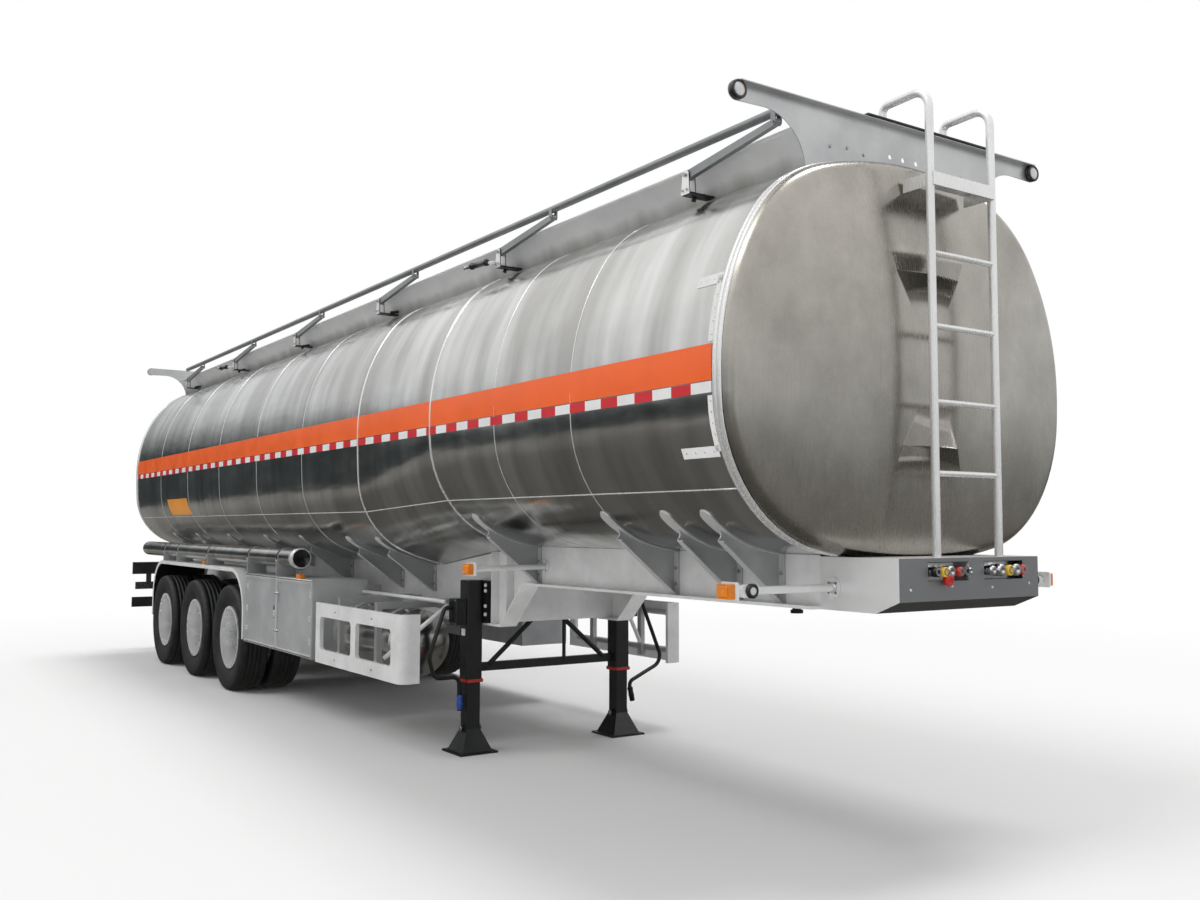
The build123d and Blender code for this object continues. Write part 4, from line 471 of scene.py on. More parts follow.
frontRun = spread(tank["headAt"], tank["coneAt"], seams["step"])
coneRun = spread(tank["coneAt"], tank["dropAt"], seams["step"])
rearRun = spread(tank["dropAt"], tank["tailAt"], seams["step"])
skinLoft("tankSkinFront", frontRun, "tank_front_barrel", bulgeAt(seams["front"]))
skinLoft("tankSkinCone", coneRun, "tank_cone")
skinLoft("tankSkinRear", rearRun, "tank_rear_barrel", bulgeAt(seams["rear"]))


# A dished head: from the ring over the knuckle to the middle
def dishedHead(name, ringStation, forward):
    outline = outlineAt(ringStation)
    zs = [z for y, z in outline]
    middle = (max(zs) + min(zs)) / 2
    outer = ringStation - forward * tank["headDepth"]
    radius, knuckle = tank["dishRadius"], tank["knuckle"]
    rows = [[(at(ringStation), y, z) for y, z in outline]]
    for inset in tank["headInsets"]:
        row = []
        for y, z in outline:
            reach = hypot(y, z - middle)
            left = reach - inset
            share = left / reach
            depth = radius - sqrt(radius ** 2 - left ** 2)
            if inset < knuckle:
                depth += knuckle - sqrt(knuckle ** 2 - (knuckle - inset) ** 2)
            row.append((at(outer + forward * depth), y * share, middle + (z - middle) * share))
        rows.append(row)
    for share in tank["headShares"]:
        row = []
        for y, z in outline:
            reach = hypot(y, z - middle) * share
            depth = radius - sqrt(radius ** 2 - reach ** 2)
            row.append((at(outer + forward * depth), y * share, middle + (z - middle) * share))
        rows.append(row)
    points = [p for row in rows for p in row] + [(at(outer), 0.0, middle)]
    width = len(outline)
    faces = rowFaces(len(rows), width, True)
    start, tip = (len(rows) - 1) * width, len(points) - 1
    faces += [(start + n, start + (n + 1) % width, tip) for n in range(width)]
    if forward > 0:
        faces = [tuple(reversed(face)) for face in faces]
    item = meshObject(name, points, faces, headPlate)
    return item


frontHead = dishedHead("tankHeadFront", tank["headAt"], 1)
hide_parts("tank_heads")
dishedHead("tankHeadRear", tank["tailAt"], -1)


# Raised bands round the tank: (station offset, height) points give the section
def ringBand(name, station, section):
    rows = []
    for offset, height in section:
        rows.append([(at(station + offset), y, z) for y, z in outlineAt(station, height)])
    points = [p for row in rows for p in row]
    item = meshObject(name, points, rowFaces(len(rows), len(rows[0]), True), brightRing)


bandProfiles = {
    "rim": [(-0.014, -0.002), (-0.012, 0.005), (-0.004, 0.007),
            (0.004, 0.007), (0.012, 0.005), (0.014, -0.002)],
    "weld": [(-0.011, -0.002), (-0.007, 0.004), (0.0, 0.006), (0.007, 0.004), (0.011, -0.002)],
    "seam": [(-0.004, -0.002), (-0.002, 0.0012), (0.002, 0.0012), (0.004, -0.002)],
}
for name, station, kind in (
    ("rimFrontA", 0.388, "rim"), ("rimFrontB", 0.42, "rim"),
    ("rimRearA", 12.212, "rim"), ("rimRearB", 12.18, "rim"),
    ("weldRingA", 3.39, "weld"), ("weldRingB", 4.65, "weld"),
    ("seamRing1", 1.64, "seam"), ("seamRing2", 2.5, "seam"), ("seamRing3", 5.9, "seam"),
    ("seamRing4", 7.15, "seam"), ("seamRing5", 8.4, "seam"), ("seamRing6", 9.65, "seam"),
    ("seamRing7", 10.9, "seam"),
):
    ringBand(name, station, bandProfiles[kind])
print("tank skinned")


# Half width of the side at a height, outside the cone the same along the tank
def sideAt(z, lift):
    side = tank["upperArcs"][2] if z > tank["wideZ"] else tank["frontArcs"][2]
    return tank["half"] - side + sqrt((side + lift) ** 2 - (z - tank["wideZ"]) ** 2)


# A sheet of film or lining on one side, from rows of points
def sideSheet(name, points, rows, width, side, material):
    faces = rowFaces(rows, width, False)
    if side > 0:
        faces = [tuple(reversed(face)) for face in faces]
    meshObject(name, points, faces, material)


bothSides = ((1, "Left"), (-1, "Right"))
stripe = {"start": 0.44, "end": 12.17, "low": 2.295, "high": 2.465, "lift": 0.0012,
          "step": 0.08, "rise": 0.02}
tape = {"low": 2.238, "high": 2.29, "run": 0.15, "lift": 0.0018}


def stripeSheet(name, side):
    stations = spread(stripe["start"], stripe["end"], stripe["step"])
    heights = spread(stripe["low"], stripe["high"], stripe["rise"])
    points = [(at(s), side * sideAt(z, stripe["lift"]), z) for s in stations for z in heights]
    sideSheet(name, points, len(stations), len(heights), side, orangeFilm)


# Red and white reflector tape, in turn along the tank
def tapeRun(name, side):
    points, faces, indices = [], [], []
    station, isRed = stripe["start"], 0
    heights = [tape["low"], (tape["low"] + tape["high"]) / 2, tape["high"]]
    while station < stripe["end"]:
        end = min(station + tape["run"], stripe["end"])
        base = len(points)
        points += [(at(s), side * sideAt(z, tape["lift"]), z) for s in (station, end) for z in heights]
        for k in range(2):
            face = (base + k, base + k + 1, base + 4 + k, base + 3 + k)
            faces.append(face if side < 0 else tuple(reversed(face)))
            indices.append(isRed)
        station, isRed = end, 1 - isRed
    item = meshObject(name, points, faces, [whiteFilm, redFilm], indices=indices)


for side, letter in bothSides:
    stripeSheet(f"stripe{letter}", side)
    tapeRun(f"reflectTape{letter}", side)
print("stripes laid")


# Tyres: a detailed tyre stands for each CAD pair
tyre = {
    "radius": 0.52, "outerMid": 1.108, "spacing": 0.33, "steps": 192,
    "bead": 0.292, "beadHalf": 0.098, "wall": (0.312, 0.504), "wallHalf": 0.1, "bulge": 0.038,
    "widest": 0.1375, "wallSteps": 12, "rib": 0.0012, "ribsAt": (4, 10), "shoulder": (0.512, 0.116),
    "treadHalf": 0.104,
    "grooves": (0.062, 0.021), "groove": 0.014, "grooveHalf": 0.005, "sipe": 0.006,
}
axle = {"first": 7.996, "spacing": 1.31, "count": 3}


def tyreProfile():
    low, high = tyre["wall"]
    crown, wide, foot = tyre["radius"], tyre["grooveHalf"], tyre["radius"] - tyre["groove"]
    upper = [(tyre["bead"], -tyre["beadHalf"]), (tyre["bead"], tyre["beadHalf"]), (low, tyre["wallHalf"])]
    for n in range(1, tyre["wallSteps"] + 1):
        share = n / tyre["wallSteps"]
        bulge = tyre["wallHalf"] + tyre["bulge"] * sin(pi * min(share * 1.06, 1.0) * 0.62 + 0.05) ** 1.2
        rib = tyre["rib"] if n in tyre["ribsAt"] else 0.0
        upper.append((low + (high - low) * share, min(bulge, tyre["widest"]) + rib))
    upper += [tyre["shoulder"], (crown - 0.0005, tyre["treadHalf"])]
    for y in tyre["grooves"]:
        upper += [(crown, y + wide), (foot, y + wide * 0.7), (foot, y - wide * 0.7), (crown, y - wide)]
    return upper + [(r, -y) for r, y in reversed(upper[2:])]


profile = tyreProfile()
shoulders = [k for k, (r, y) in enumerate(profile) if r > 0.511 and abs(y) > 0.1]
sipes = {"depth": tyre["sipe"], "points": shoulders}
for side, letter in bothSides:
    for number in range(1, axle["count"] + 1):
        x = at(axle["first"] + axle["spacing"] * (number - 1))
        pair = f"{letter.lower()}_{number}"
        for twin, mid in (("Outer", tyre["outerMid"]), ("Inner", tyre["outerMid"] - tyre["spacing"])):
            section = [(r, side * mid + y) for r, y in profile]
            item = tyreMesh(f"tyre{twin}{letter}{number}", section, x, tyre["radius"], tyre["steps"], rubber,
                            f"wheel_{pair}", sipes)
            if twin == "Outer":
                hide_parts(f"tyres_{pair}")
print("tyres made")


# Shaped plates, turned parts, tubes and fastener fields for the small things


# A plate with rounded corners and a bevelled outer edge; u and v lie in it, w points outwards
def plateMesh(name, origin, u, v, w, size, material, body="trailer", corner=0.006, bevel=0.0015):
    width, height, depth = size
    u, v, w, origin = Vector(u), Vector(v), Vector(w), Vector(origin)
    corner = min(corner, width / 2 - 0.0001, height / 2 - 0.0001)

    def outline(inset, lift):
        ring = []
        reach = corner - inset if corner > inset else 0.0005
        for sideU, sideV, start in ((1, 1, 0), (-1, 1, 1), (-1, -1, 2), (1, -1, 3)):
            for n in range(5):
                angle = (start + n / 4) * pi / 2
                a = sideU * (width / 2 - inset - reach) + reach * cos(angle)
                b = sideV * (height / 2 - inset - reach) + reach * sin(angle)
                ring.append(origin + u * a + v * b + w * lift)
        return ring

    rows = [outline(0.0, 0.0), outline(0.0, depth - bevel), outline(bevel, depth)]
    points = [p for row in rows for p in row]
    faces = rowFaces(3, 20, True)
    faces.append(tuple(range(40, 60)))
    faces.append(tuple(reversed(range(20))))
    if u.cross(v).dot(w) < 0:
        faces = [tuple(reversed(face)) for face in faces]
    return meshObject(name, points, faces, material, body, smooth=False)


# Turns (radius, height) points about an axis; height runs along the axis from the origin
def latheMesh(name, profile, origin, axis, material, body="trailer", steps=32):
    axis, origin = Vector(axis).normalized(), Vector(origin)
    first = axis.orthogonal().normalized()
    second = axis.cross(first)
    points = []
    for n in range(steps):
        angle = 2 * pi * n / steps
        spoke = first * cos(angle) + second * sin(angle)
        points += [origin + spoke * radius + axis * height for radius, height in profile]
    width = len(profile)
    faces = []
    for n in range(steps):
        following = (n + 1) % steps
        for k in range(width - 1):
            faces.append((n * width + k, following * width + k, following * width + k + 1, n * width + k + 1))
    return meshObject(name, points, faces, material, body)


# A round bar or hose along a line of points
def barMesh(name, path, radius, material, body="trailer", steps=12):
    path = [Vector(p) for p in path]
    points = []
    for n, spot in enumerate(path):
        way = (path[min(n + 1, len(path) - 1)] - path[max(n - 1, 0)]).normalized()
        first = way.cross(Vector((0.31, 0.17, 0.93))).normalized()
        second = way.cross(first)
        for k in range(steps):
            angle = 2 * pi * k / steps
            points.append(spot + first * (radius * cos(angle)) + second * (radius * sin(angle)))
    faces = rowFaces(len(path), steps, True)
    end = (len(path) - 1) * steps
    faces += [tuple(reversed(range(steps))), tuple(range(end, end + steps))]
    return meshObject(name, points, faces, material, body)


# Starts a Geometry Nodes tree with named inputs: gives the tree, the inputs' identifiers and the entry node
def startTree(name, inputs, output):
    tree = bpy.data.node_groups.new(name, "GeometryNodeTree")
    keys = {}
    for label, kind, value in inputs:
        socket = tree.interface.new_socket(name=label, in_out="INPUT", socket_type="NodeSocket" + kind)
        if value is not None:
            socket.default_value = value
        keys[label] = socket.identifier
    tree.interface.new_socket(name=output, in_out="OUTPUT", socket_type="NodeSocketGeometry")
    return tree, keys, addNode(tree, "NodeGroupInput")


# Ends a tree: its instances are made real, take the material and go out
def endTree(tree, entry, instances, output):
    real = addNode(tree, "GeometryNodeRealizeInstances", links={"Geometry": (instances, "Instances")})
    finish = addNode(tree, "GeometryNodeSetMaterial", links={
        "Geometry": (real, "Geometry"), "Material": (entry, "Finish")})
    addNode(tree, "NodeGroupOutput", links={output: (finish, "Geometry")})


# Runs a tree on a mesh and keeps what it makes as the piece's plain mesh
def runTree(name, mesh, tree, keys, settings, body):
    item = bpy.data.objects.new(name, mesh)
    scene.collection.objects.link(item)
    modifier = item.modifiers.new(tree.name, "NODES")
    modifier.node_group = tree
    for label, value in settings.items():
        modifier[keys[label]] = value
    bpy.context.view_layer.update()
    plain = bpy.data.meshes.new_from_object(item.evaluated_get(bpy.context.evaluated_depsgraph_get()))
    item.modifiers.clear()
    item.data = plain
    plain.materials.clear()
    plain.materials.append(settings["Finish"])
    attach(item, body)


# Geometry Nodes: one bolt head on each point, standing along the point's "facing" direction
def fastenerTree():
    tree, keys, entry = startTree("fastenerField", (
        ("Points", "Geometry", None), ("Sides", "Int", 6), ("Base Radius", "Float", 0.01),
        ("Top Radius", "Float", 0.008), ("Height", "Float", 0.006), ("Seed", "Int", 5),
        ("Finish", "Material", None)), "Heads")
    head = addNode(tree, "GeometryNodeMeshCone", links={
        "Vertices": (entry, "Sides"), "Radius Top": (entry, "Top Radius"),
        "Radius Bottom": (entry, "Base Radius"), "Depth": (entry, "Height")})
    facing = addNode(tree, "GeometryNodeInputNamedAttribute", {"data_type": "FLOAT_VECTOR"},
                     values={"Name": "facing"})
    spin = addNode(tree, "FunctionNodeRandomValue", {"data_type": "FLOAT"}, {"Seed": (entry, "Seed")},
                   {3: 6.28})
    turn = addNode(tree, "ShaderNodeCombineXYZ", links={"Z": (spin, 1)})
    aim = addNode(tree, "FunctionNodeAlignRotationToVector", {"axis": "Z"}, {"Vector": (facing, "Attribute")})
    placed = addNode(tree, "GeometryNodeInstanceOnPoints", links={
        "Points": (entry, "Points"), "Instance": (head, "Mesh"), "Rotation": (aim, "Rotation")})
    turned = addNode(tree, "GeometryNodeRotateInstances", links={
        "Instances": (placed, "Instances"), "Rotation": (turn, "Vector")})
    endTree(tree, entry, turned, "Heads")
    return tree, keys


# Geometry Nodes: the same small block repeated along a line, for ribs
def slatTree():
    tree, keys, entry = startTree("slatRow", (
        ("Count", "Int", 5), ("Start", "Vector", None), ("Step", "Vector", None), ("Size", "Vector", None),
        ("Finish", "Material", None)), "Slats")
    line = addNode(tree, "GeometryNodeMeshLine", links={
        "Count": (entry, "Count"), "Start Location": (entry, "Start"), "Offset": (entry, "Step")})
    slat = addNode(tree, "GeometryNodeMeshCube", links={"Size": (entry, "Size")})
    placed = addNode(tree, "GeometryNodeInstanceOnPoints", links={
        "Points": (line, "Mesh"), "Instance": (slat, "Mesh")})
    endTree(tree, entry, placed, "Slats")
    return tree, keys


fasteners, fastenerKeys = fastenerTree()
slats, slatKeys = slatTree()


# Places are (point, direction) pairs; size is base radius, top radius and height
def fastenerField(name, places, size, material, body="trailer", sides=6):
    mesh = bpy.data.meshes.new(name)
    mesh.from_pydata([tuple(spot) for spot, way in places], [], [])
    field = mesh.attributes.new("facing", "FLOAT_VECTOR", "POINT")
    for n, (spot, way) in enumerate(places):
        field.data[n].vector = Vector(way).normalized()
    base, top, height = size
    runTree(name, mesh, fasteners, fastenerKeys, {
        "Sides": sides, "Base Radius": base, "Top Radius": top, "Height": height, "Seed": 5,
        "Finish": material}, body)


def slatRow(name, start, step, count, size, material):
    runTree(name, bpy.data.meshes.new(name), slats, slatKeys, {
        "Count": count, "Start": start, "Step": step, "Size": size, "Finish": material}, "trailer")


left, front, upward = Vector((0, 1, 0)), Vector((1, 0, 0)), Vector((0, 0, 1))


# A plate that lies on a side, looking outwards
def sidePlate(name, station, y, z, side, size, material, body="trailer", **shape):
    spot = (at(station), side * y, z)
    return plateMesh(name, spot, front, upward, left * side, size, material, body, **shape)


# Places round a circle that faces sideways
def boltCircle(x, y, z, side, radius, count, start):
    angles = [start + 2 * pi * n / count for n in range(count)]
    return [((x + radius * cos(a), side * y, z + radius * sin(a)), (0, side, 0)) for a in angles]


# Places in a grid on a side face
def boltGrid(stations, y, heights, side):
    return [((at(s), side * y, z), (0, side, 0)) for s in stations for z in heights]


# Lamps: black-ringed pale lenses on the wing tips, ambers on white backs, red ones behind
lampFit = {
    "frontTip": 0.4115, "rearTip": 12.1555, "tipY": 1.119, "tipZ": 3.668,
    "arms": (("Nose", 0.426, 1.332), ("Neck", 2.94, 1.354)), "backY": 1.152, "capY": 1.1995,
    "eyeAt": 0.405, "eyeY": 1.052, "eyeZ": 1.332, "blockAt": 0.425, "blockY": 1.075,
}
tipRing = [(0.040, 0.0), (0.047, 0.001), (0.047, 0.026), (0.044, 0.030), (0.034, 0.030), (0.033, 0.024)]
tipLens = [(0.034, 0.024), (0.031, 0.029), (0.020, 0.0335), (0.008, 0.035), (0.0, 0.035)]
eyeRing = [(0.020, 0.0), (0.034, 0.001), (0.034, 0.016), (0.030, 0.020), (0.020, 0.020), (0.018, 0.015)]
eyeLens = [(0.019, 0.015), (0.016, 0.021), (0.006, 0.0235), (0.0, 0.0235)]
for side, letter in bothSides:
    tipY, tipZ, eyeY, eyeZ = side * lampFit["tipY"], lampFit["tipZ"], side * lampFit["eyeY"], lampFit["eyeZ"]
    for name, spot, way, ring, lens, glass in (
        ("tipLamp", (at(lampFit["frontTip"]), tipY, tipZ), 1, tipRing, tipLens, paleLens),
        ("tailLamp", (at(lampFit["rearTip"]), tipY, tipZ), -1, tipRing, tipLens, redLens),
        ("marker", (at(lampFit["eyeAt"]), eyeY, eyeZ), 1, eyeRing, eyeLens, paleLens),
    ):
        latheMesh(f"{name}Ring{letter}", ring, spot, (way, 0, 0), blackPlastic)
        latheMesh(f"{name}Lens{letter}", lens, spot, (way, 0, 0), glass)
    for name, station, z in lampFit["arms"]:
        back = sidePlate(f"armLampBack{name}{letter}", station, lampFit["backY"], z, side,
                         (0.112, 0.086, 0.016), whiteEnamel, corner=0.012)
        cap = sidePlate(f"armLampCap{name}{letter}", station, lampFit["capY"], z, side,
                        (0.07, 0.05, 0.009), amberLens, corner=0.01, bevel=0.004)
    block = plateMesh(f"markerBlock{letter}", (at(lampFit["blockAt"]), side * lampFit["blockY"], eyeZ),
                      left, upward, front, (0.085, 0.06, 0.022), whiteEnamel, corner=0.028, bevel=0.004)
print("lamps fitted")


# Wheel nuts with their studs, hub bands with their screws, and valve stems
wheelFit = {
    "nuts": 10, "nutCircle": 0.1425, "nutY": 0.958, "nut": (0.0185, 0.0165, 0.024),
    "stud": (0.011, 0.0095, 0.014),
    "screws": 6, "screwCircle": 0.052, "screwY": 1.093, "screw": (0.008, 0.0072, 0.006), "hubY": 1.035,
    "stem": ((0.245, 1.03), (0.25, 1.075), (0.248, 1.10)), "stemRadius": 0.005,
}
hub = [(0.0825, 0.0), (0.086, 0.002), (0.086, 0.010), (0.081, 0.013), (0.081, 0.036)]
for side, letter in bothSides:
    for number in range(1, axle["count"] + 1):
        x, z = at(axle["first"] + axle["spacing"] * (number - 1)), tyre["radius"]
        body, tag = f"wheel_{letter.lower()}_{number}", f"{letter}{number}"
        nutY, count = wheelFit["nutY"], wheelFit["nuts"]
        for name, y, size, corners in (
            ("Nuts", nutY, wheelFit["nut"], 6), ("Studs", nutY + wheelFit["nut"][2], wheelFit["stud"], 12),
        ):
            places = boltCircle(x, y, z, side, wheelFit["nutCircle"], count, pi / count)
            fastenerField(f"wheel{name}{tag}", places, size, nutSteel, body, corners)
        spot = (x, side * wheelFit["hubY"], z)
        latheMesh(f"hubBand{tag}", hub, spot, (0, side, 0), chromeFitting, body, 48)
        places = boltCircle(x, wheelFit["screwY"], z, side, wheelFit["screwCircle"], wheelFit["screws"], 0.0)
        fastenerField(f"hubScrews{tag}", places, wheelFit["screw"], nutSteel, body)
        stem = [(x + ahead, side * y, z) for ahead, y in wheelFit["stem"]]
        barMesh(f"valveStem{tag}", stem, wheelFit["stemRadius"], blackPlastic, body, 8)
print("wheel fittings done")


# Cabinets: trim strips, hinges, the slot lock, knobs and the drip rail
cabinet = {
    "doors": (("front", 5.600, 6.508), ("rear", 6.512, 7.420)), "faceY": 1.2349, "trimY": 1.2399,
    "hingeIn": 0.05, "hingeZ": (0.66, 0.85, 1.05), "screwY": 1.2403, "knobIn": 0.026, "knobZ": (0.70, 1.03),
    "railEnds": (5.59, 7.43), "railY": 1.2435, "railZ": 1.1735, "railRadius": 0.004,
}
knob = [(0.014, 0.0), (0.015, 0.004), (0.009, 0.008), (0.009, 0.011), (0.0, 0.012)]
for side, letter in bothSides:
    for end, near, far in cabinet["doors"]:
        body, tag = f"cabinet_door_{letter.lower()}_{end}", f"{letter}{end.title()}"
        outer, meeting, way = (near, far, 1) if end == "front" else (far, near, -1)
        for name, station, z, width, height in (
            ("Top", (near + far) / 2, 1.157, 0.900, 0.010),
            ("Foot", (near + far) / 2, 0.552, 0.900, 0.014),
            ("Meet", meeting - way * 0.009, 0.8535, 0.012, 0.600),
        ):
            trim = sidePlate(f"doorTrim{name}{tag}", station, cabinet["trimY"], z, side,
                             (width, height, 0.003), brightTrim, body, corner=0.003)
        hinge = outer + way * cabinet["hingeIn"]
        for n, z in enumerate(cabinet["hingeZ"], 1):
            sidePlate(f"doorHinge{tag}{n}", hinge, cabinet["faceY"], z, side,
                      (0.05, 0.055, 0.0055), brightTrim, body)
            places = boltGrid((hinge + 0.013, hinge - 0.013), cabinet["screwY"], (z - 0.016, z + 0.016), side)
            fastenerField(f"doorHingeScrews{tag}{n}", places, (0.0042, 0.003, 0.002), nutSteel, body, 10)
        if end == "rear":
            sidePlate(f"lockPocket{tag}", 6.562, cabinet["faceY"], 0.862, side, (0.046, 0.118, 0.005),
                      blackPlastic, body, corner=0.022, bevel=0.002)
            sidePlate(f"lockHandle{tag}", 6.559, 1.2395, 0.846, side, (0.024, 0.062, 0.007),
                      brightTrim, body, corner=0.011, bevel=0.003)
        for n, z in enumerate(cabinet["knobZ"], 1):
            spot = (at(meeting - way * cabinet["knobIn"]), side * cabinet["faceY"], z)
            latheMesh(f"doorKnob{tag}{n}", knob, spot, (0, side, 0), chromeFitting, body, 20)
    rail = [(at(s), side * cabinet["railY"], cabinet["railZ"]) for s in cabinet["railEnds"]]
    barMesh(f"dripRail{letter}", rail, cabinet["railRadius"], brightTrim)
print("cabinets trimmed")


# Half width of the tank at a station and height, from its outline
def wallAt(station, z, lift=0.0):
    side = sorted((point[1], point[0]) for point in outlineAt(station, lift) if point[0] > 0)
    for (lowZ, lowY), (highZ, highY) in zip(side, side[1:]):
        if lowZ <= z <= highZ:
            return lowY + (highY - lowY) * (z - lowZ) / max(highZ - lowZ, 1e-6)
    return side[0][1]


# A patch of film on the right side, between two stations and two heights, slanted by lean metres
def sidePatch(name, start, end, lowZ, highZ, material, lift=0.0014, lean=0.0):
    stations, heights = spread(start, end, 0.05), spread(lowZ, highZ, 0.02)
    points = []
    for s in stations:
        for z in heights:
            place = s + lean * (z - lowZ) / (highZ - lowZ)
            points.append((at(place), -(wallAt(place, z) + lift), z))
    sideSheet(name, points, len(stations), len(heights), -1, material)


# Level weld beads low on both sides, the corner tapes with their rivets and the blank placard
beads = {"radius": 0.0042, "front": 1.80, "rear": 1.735, "start": 0.44, "end": 12.16, "step": 0.12}
patches = {
    "upper": (0.425, 0.62, 2.752, 2.806), "lower": (0.45, 0.72, 1.945, 1.995),
    "upright": (0.425, 0.47, 1.97, 2.225), "uprightTop": (0.425, 0.47, 2.475, 2.79),
}
for side, letter in bothSides:
    path = []
    for s in spread(beads["start"], beads["end"], beads["step"]):
        z = beads["front"] + (beads["rear"] - beads["front"]) * coneShare(s)
        path.append((at(s), side * wallAt(s, z), z))
    barMesh(f"levelWeld{letter}", path, beads["radius"], brightRing, steps=8)
for name, (start, end, low, high) in patches.items():
    sidePatch(f"cornerTape{name.title()}", start, end, low, high, whiteFilm)
    isUpright = end - start < 0.1
    count = 5 if isUpright else 4
    places = []
    for n in range(count):
        share = (n + 0.5) / count
        s = (start + end) / 2 if isUpright else start + (end - start) * share
        z = low + (high - low) * share if isUpright else (low + high) / 2
        places.append(((at(s), -(wallAt(s, z) + stripe["lift"]), z), (0, -1, 0)))
    fastenerField(f"cornerRivets{name.title()}", places, (0.006, 0.004, 0.003), brightTrim, sides=12)
sidePatch("blankPlacard", 9.648, 10.538, 1.757, 1.94, placardFilm, lift=0.002, lean=0.072)
print("tapes and weld beads laid")


# Top side: rubber strip and bolts on the wing plate, drains, handrail pins and cylinders, lids' handles
top = {
    "boltY": (-0.5, -0.38, -0.26, 0.26, 0.38, 0.5), "drains": (1.156, 3.231, 5.17, 7.3, 9.4, 11.3),
    "drain": ((0.70, 3.415), (0.765, 3.400), (0.775, 3.375)), "drainRadius": 0.013,
    "postAt": 1.133, "postSpacing": 2.06, "posts": 6, "pinY": 0.8535, "pinZ": 3.5, "boltFaceY": 0.8515,
    "cylinders": (2, 5), "cylinderY": -0.905, "cylinderZ": 3.43,
    "lids": (2.05, 6.1, 9.7), "lidBolts": 8, "lidCircle": 0.235, "lidTop": 3.5695,
    "grip": ((-0.07, 3.589), (-0.065, 3.612), (-0.03, 3.622), (0.03, 3.622), (0.065, 3.612), (0.07, 3.589)),
}
strip = plateMesh("wingStrip", (at(0.392), 0.22, 3.716), left, front, upward, (0.99, 0.055, 0.012),
                  blackRubber, corner=0.01, bevel=0.004)
places = [((at(0.4118), y, 3.52 + 0.014 * (n % 2)), (1, 0, 0)) for n, y in enumerate(top["boltY"])]
fastenerField("wingBolts", places, (0.009, 0.008, 0.006), nutSteel)
for n, s in enumerate(top["drains"], 1):
    for side in (1, -1):
        path = [(at(s), side * y, z) for y, z in top["drain"]]
        barMesh(f"drainSpout{n}{side + 1}", path, top["drainRadius"], blackRubber)
barrel = [(0.0, 0.0), (0.022, 0.0), (0.024, 0.004), (0.024, 0.022), (0.020, 0.024), (0.020, 0.206),
          (0.024, 0.208), (0.024, 0.228), (0.021, 0.232), (0.008, 0.232), (0.008, 0.31), (0.0, 0.31)]
barrelTip = [(0.0, 0.0), (0.013, 0.0), (0.013, 0.03), (0.0, 0.03)]
for n in range(1, top["posts"] + 1):
    s = top["postAt"] + top["postSpacing"] * (n - 1)
    pin = boltGrid((s,), top["pinY"], (top["pinZ"],), -1)
    fastenerField(f"postPinHead{n}", pin, (0.0125, 0.0105, 0.008), nutSteel)
    places = boltGrid((s - 0.016, s + 0.022), top["boltFaceY"], (3.418,), -1)
    fastenerField(f"bracketBolts{n}", places, (0.008, 0.007, 0.006), nutSteel)
    if n in top["cylinders"]:
        y, z, way = top["cylinderY"], top["cylinderZ"], (-1, 0, 0.06)
        latheMesh(f"railCylinder{n}", barrel, (at(s + 0.05), y, z), way, blackPlastic, steps=24)
        spot = (at(s + 0.352), y, z + 0.018)
        latheMesh(f"railCylinderTip{n}", barrelTip, spot, way, chromeFitting, steps=16)
        arm = [(at(s + 0.03), -0.846, z), (at(s + 0.05), -0.88, z), (at(s + 0.07), y, z)]
        barMesh(f"railCylinderArm{n}", arm, 0.012, whiteEnamel)
for number, s in enumerate(top["lids"], 1):
    body, count, circle = f"manhole_lid_{number}", top["lidBolts"], top["lidCircle"]
    angles = [2 * pi * n / count + 0.2 for n in range(count)]
    places = [((at(s) + circle * cos(a), circle * sin(a), top["lidTop"]), (0, 0, 1)) for a in angles]
    fastenerField(f"lidBolts{number}", places, (0.010, 0.009, 0.009), nutSteel, body)
    barMesh(f"lidGrip{number}", [(at(s) + 0.05, y, z) for y, z in top["grip"]], 0.008, blackPlastic, body)
print("top fitted")


# Service couplings: Y, how far each stays behind the foremost one, radius and cap
couplingFit = {"capAt": -0.0485, "capZ": 1.417, "rivetAt": -0.0003, "rivetY": (-0.44, -0.15, 0.15, 0.44)}
couplings = (
    (-0.290, 0.010, 0.022, blackPlastic), (-0.240, 0.004, 0.022, yellowCap),
    (-0.187, 0.014, 0.026, chromeFitting), (-0.135, 0.000, 0.022, redCap),
    (-0.085, 0.008, 0.024, blackPlastic), (-0.042, 0.020, 0.016, chromeFitting),
    (0.118, 0.010, 0.022, chromeFitting), (0.176, 0.004, 0.028, chromeFitting),
    (0.238, 0.000, 0.024, yellowCap), (0.300, 0.010, 0.028, chromeFitting), (0.362, 0.016, 0.024, redCap),
)
for n, (y, behind, radius, finish) in enumerate(couplings, 1):
    cap = [(radius * 0.86, -0.030), (radius + 0.0015, -0.028), (radius + 0.0015, -0.004), (radius * 0.9, 0.0),
           (radius * 0.5, 0.001), (radius * 0.46, -0.004), (0.0, -0.005)]
    spot = (at(behind + couplingFit["capAt"]), y, couplingFit["capZ"])
    latheMesh(f"couplingCap{n}", cap, spot, (1, 0, 0), finish, steps=28)
places = []
for n, y in enumerate(couplingFit["rivetY"]):
    places.append(((at(couplingFit["rivetAt"]), y, 1.335 + 0.012 * (n % 2)), (1, 0, 0)))
fastenerField("noseRivets", places, (0.007, 0.005, 0.004), brightTrim, sides=12)
hanging = [(0.016, -0.03), (0.029, -0.026), (0.029, -0.006), (0.025, 0.0), (0.013, 0.002), (0.011, -0.003),
           (0.0, -0.004)]
item = latheMesh("couplingHanging", hanging, (at(-0.0435), -0.212, 1.375), (1, 0, -0.25), redCap, steps=28)
neck = [(at(-0.005), -0.20, 1.41), (at(-0.02), -0.206, 1.395), (at(-0.03), -0.21, 1.38)]
barMesh("couplingNeck", neck, 0.013, chromeFitting)
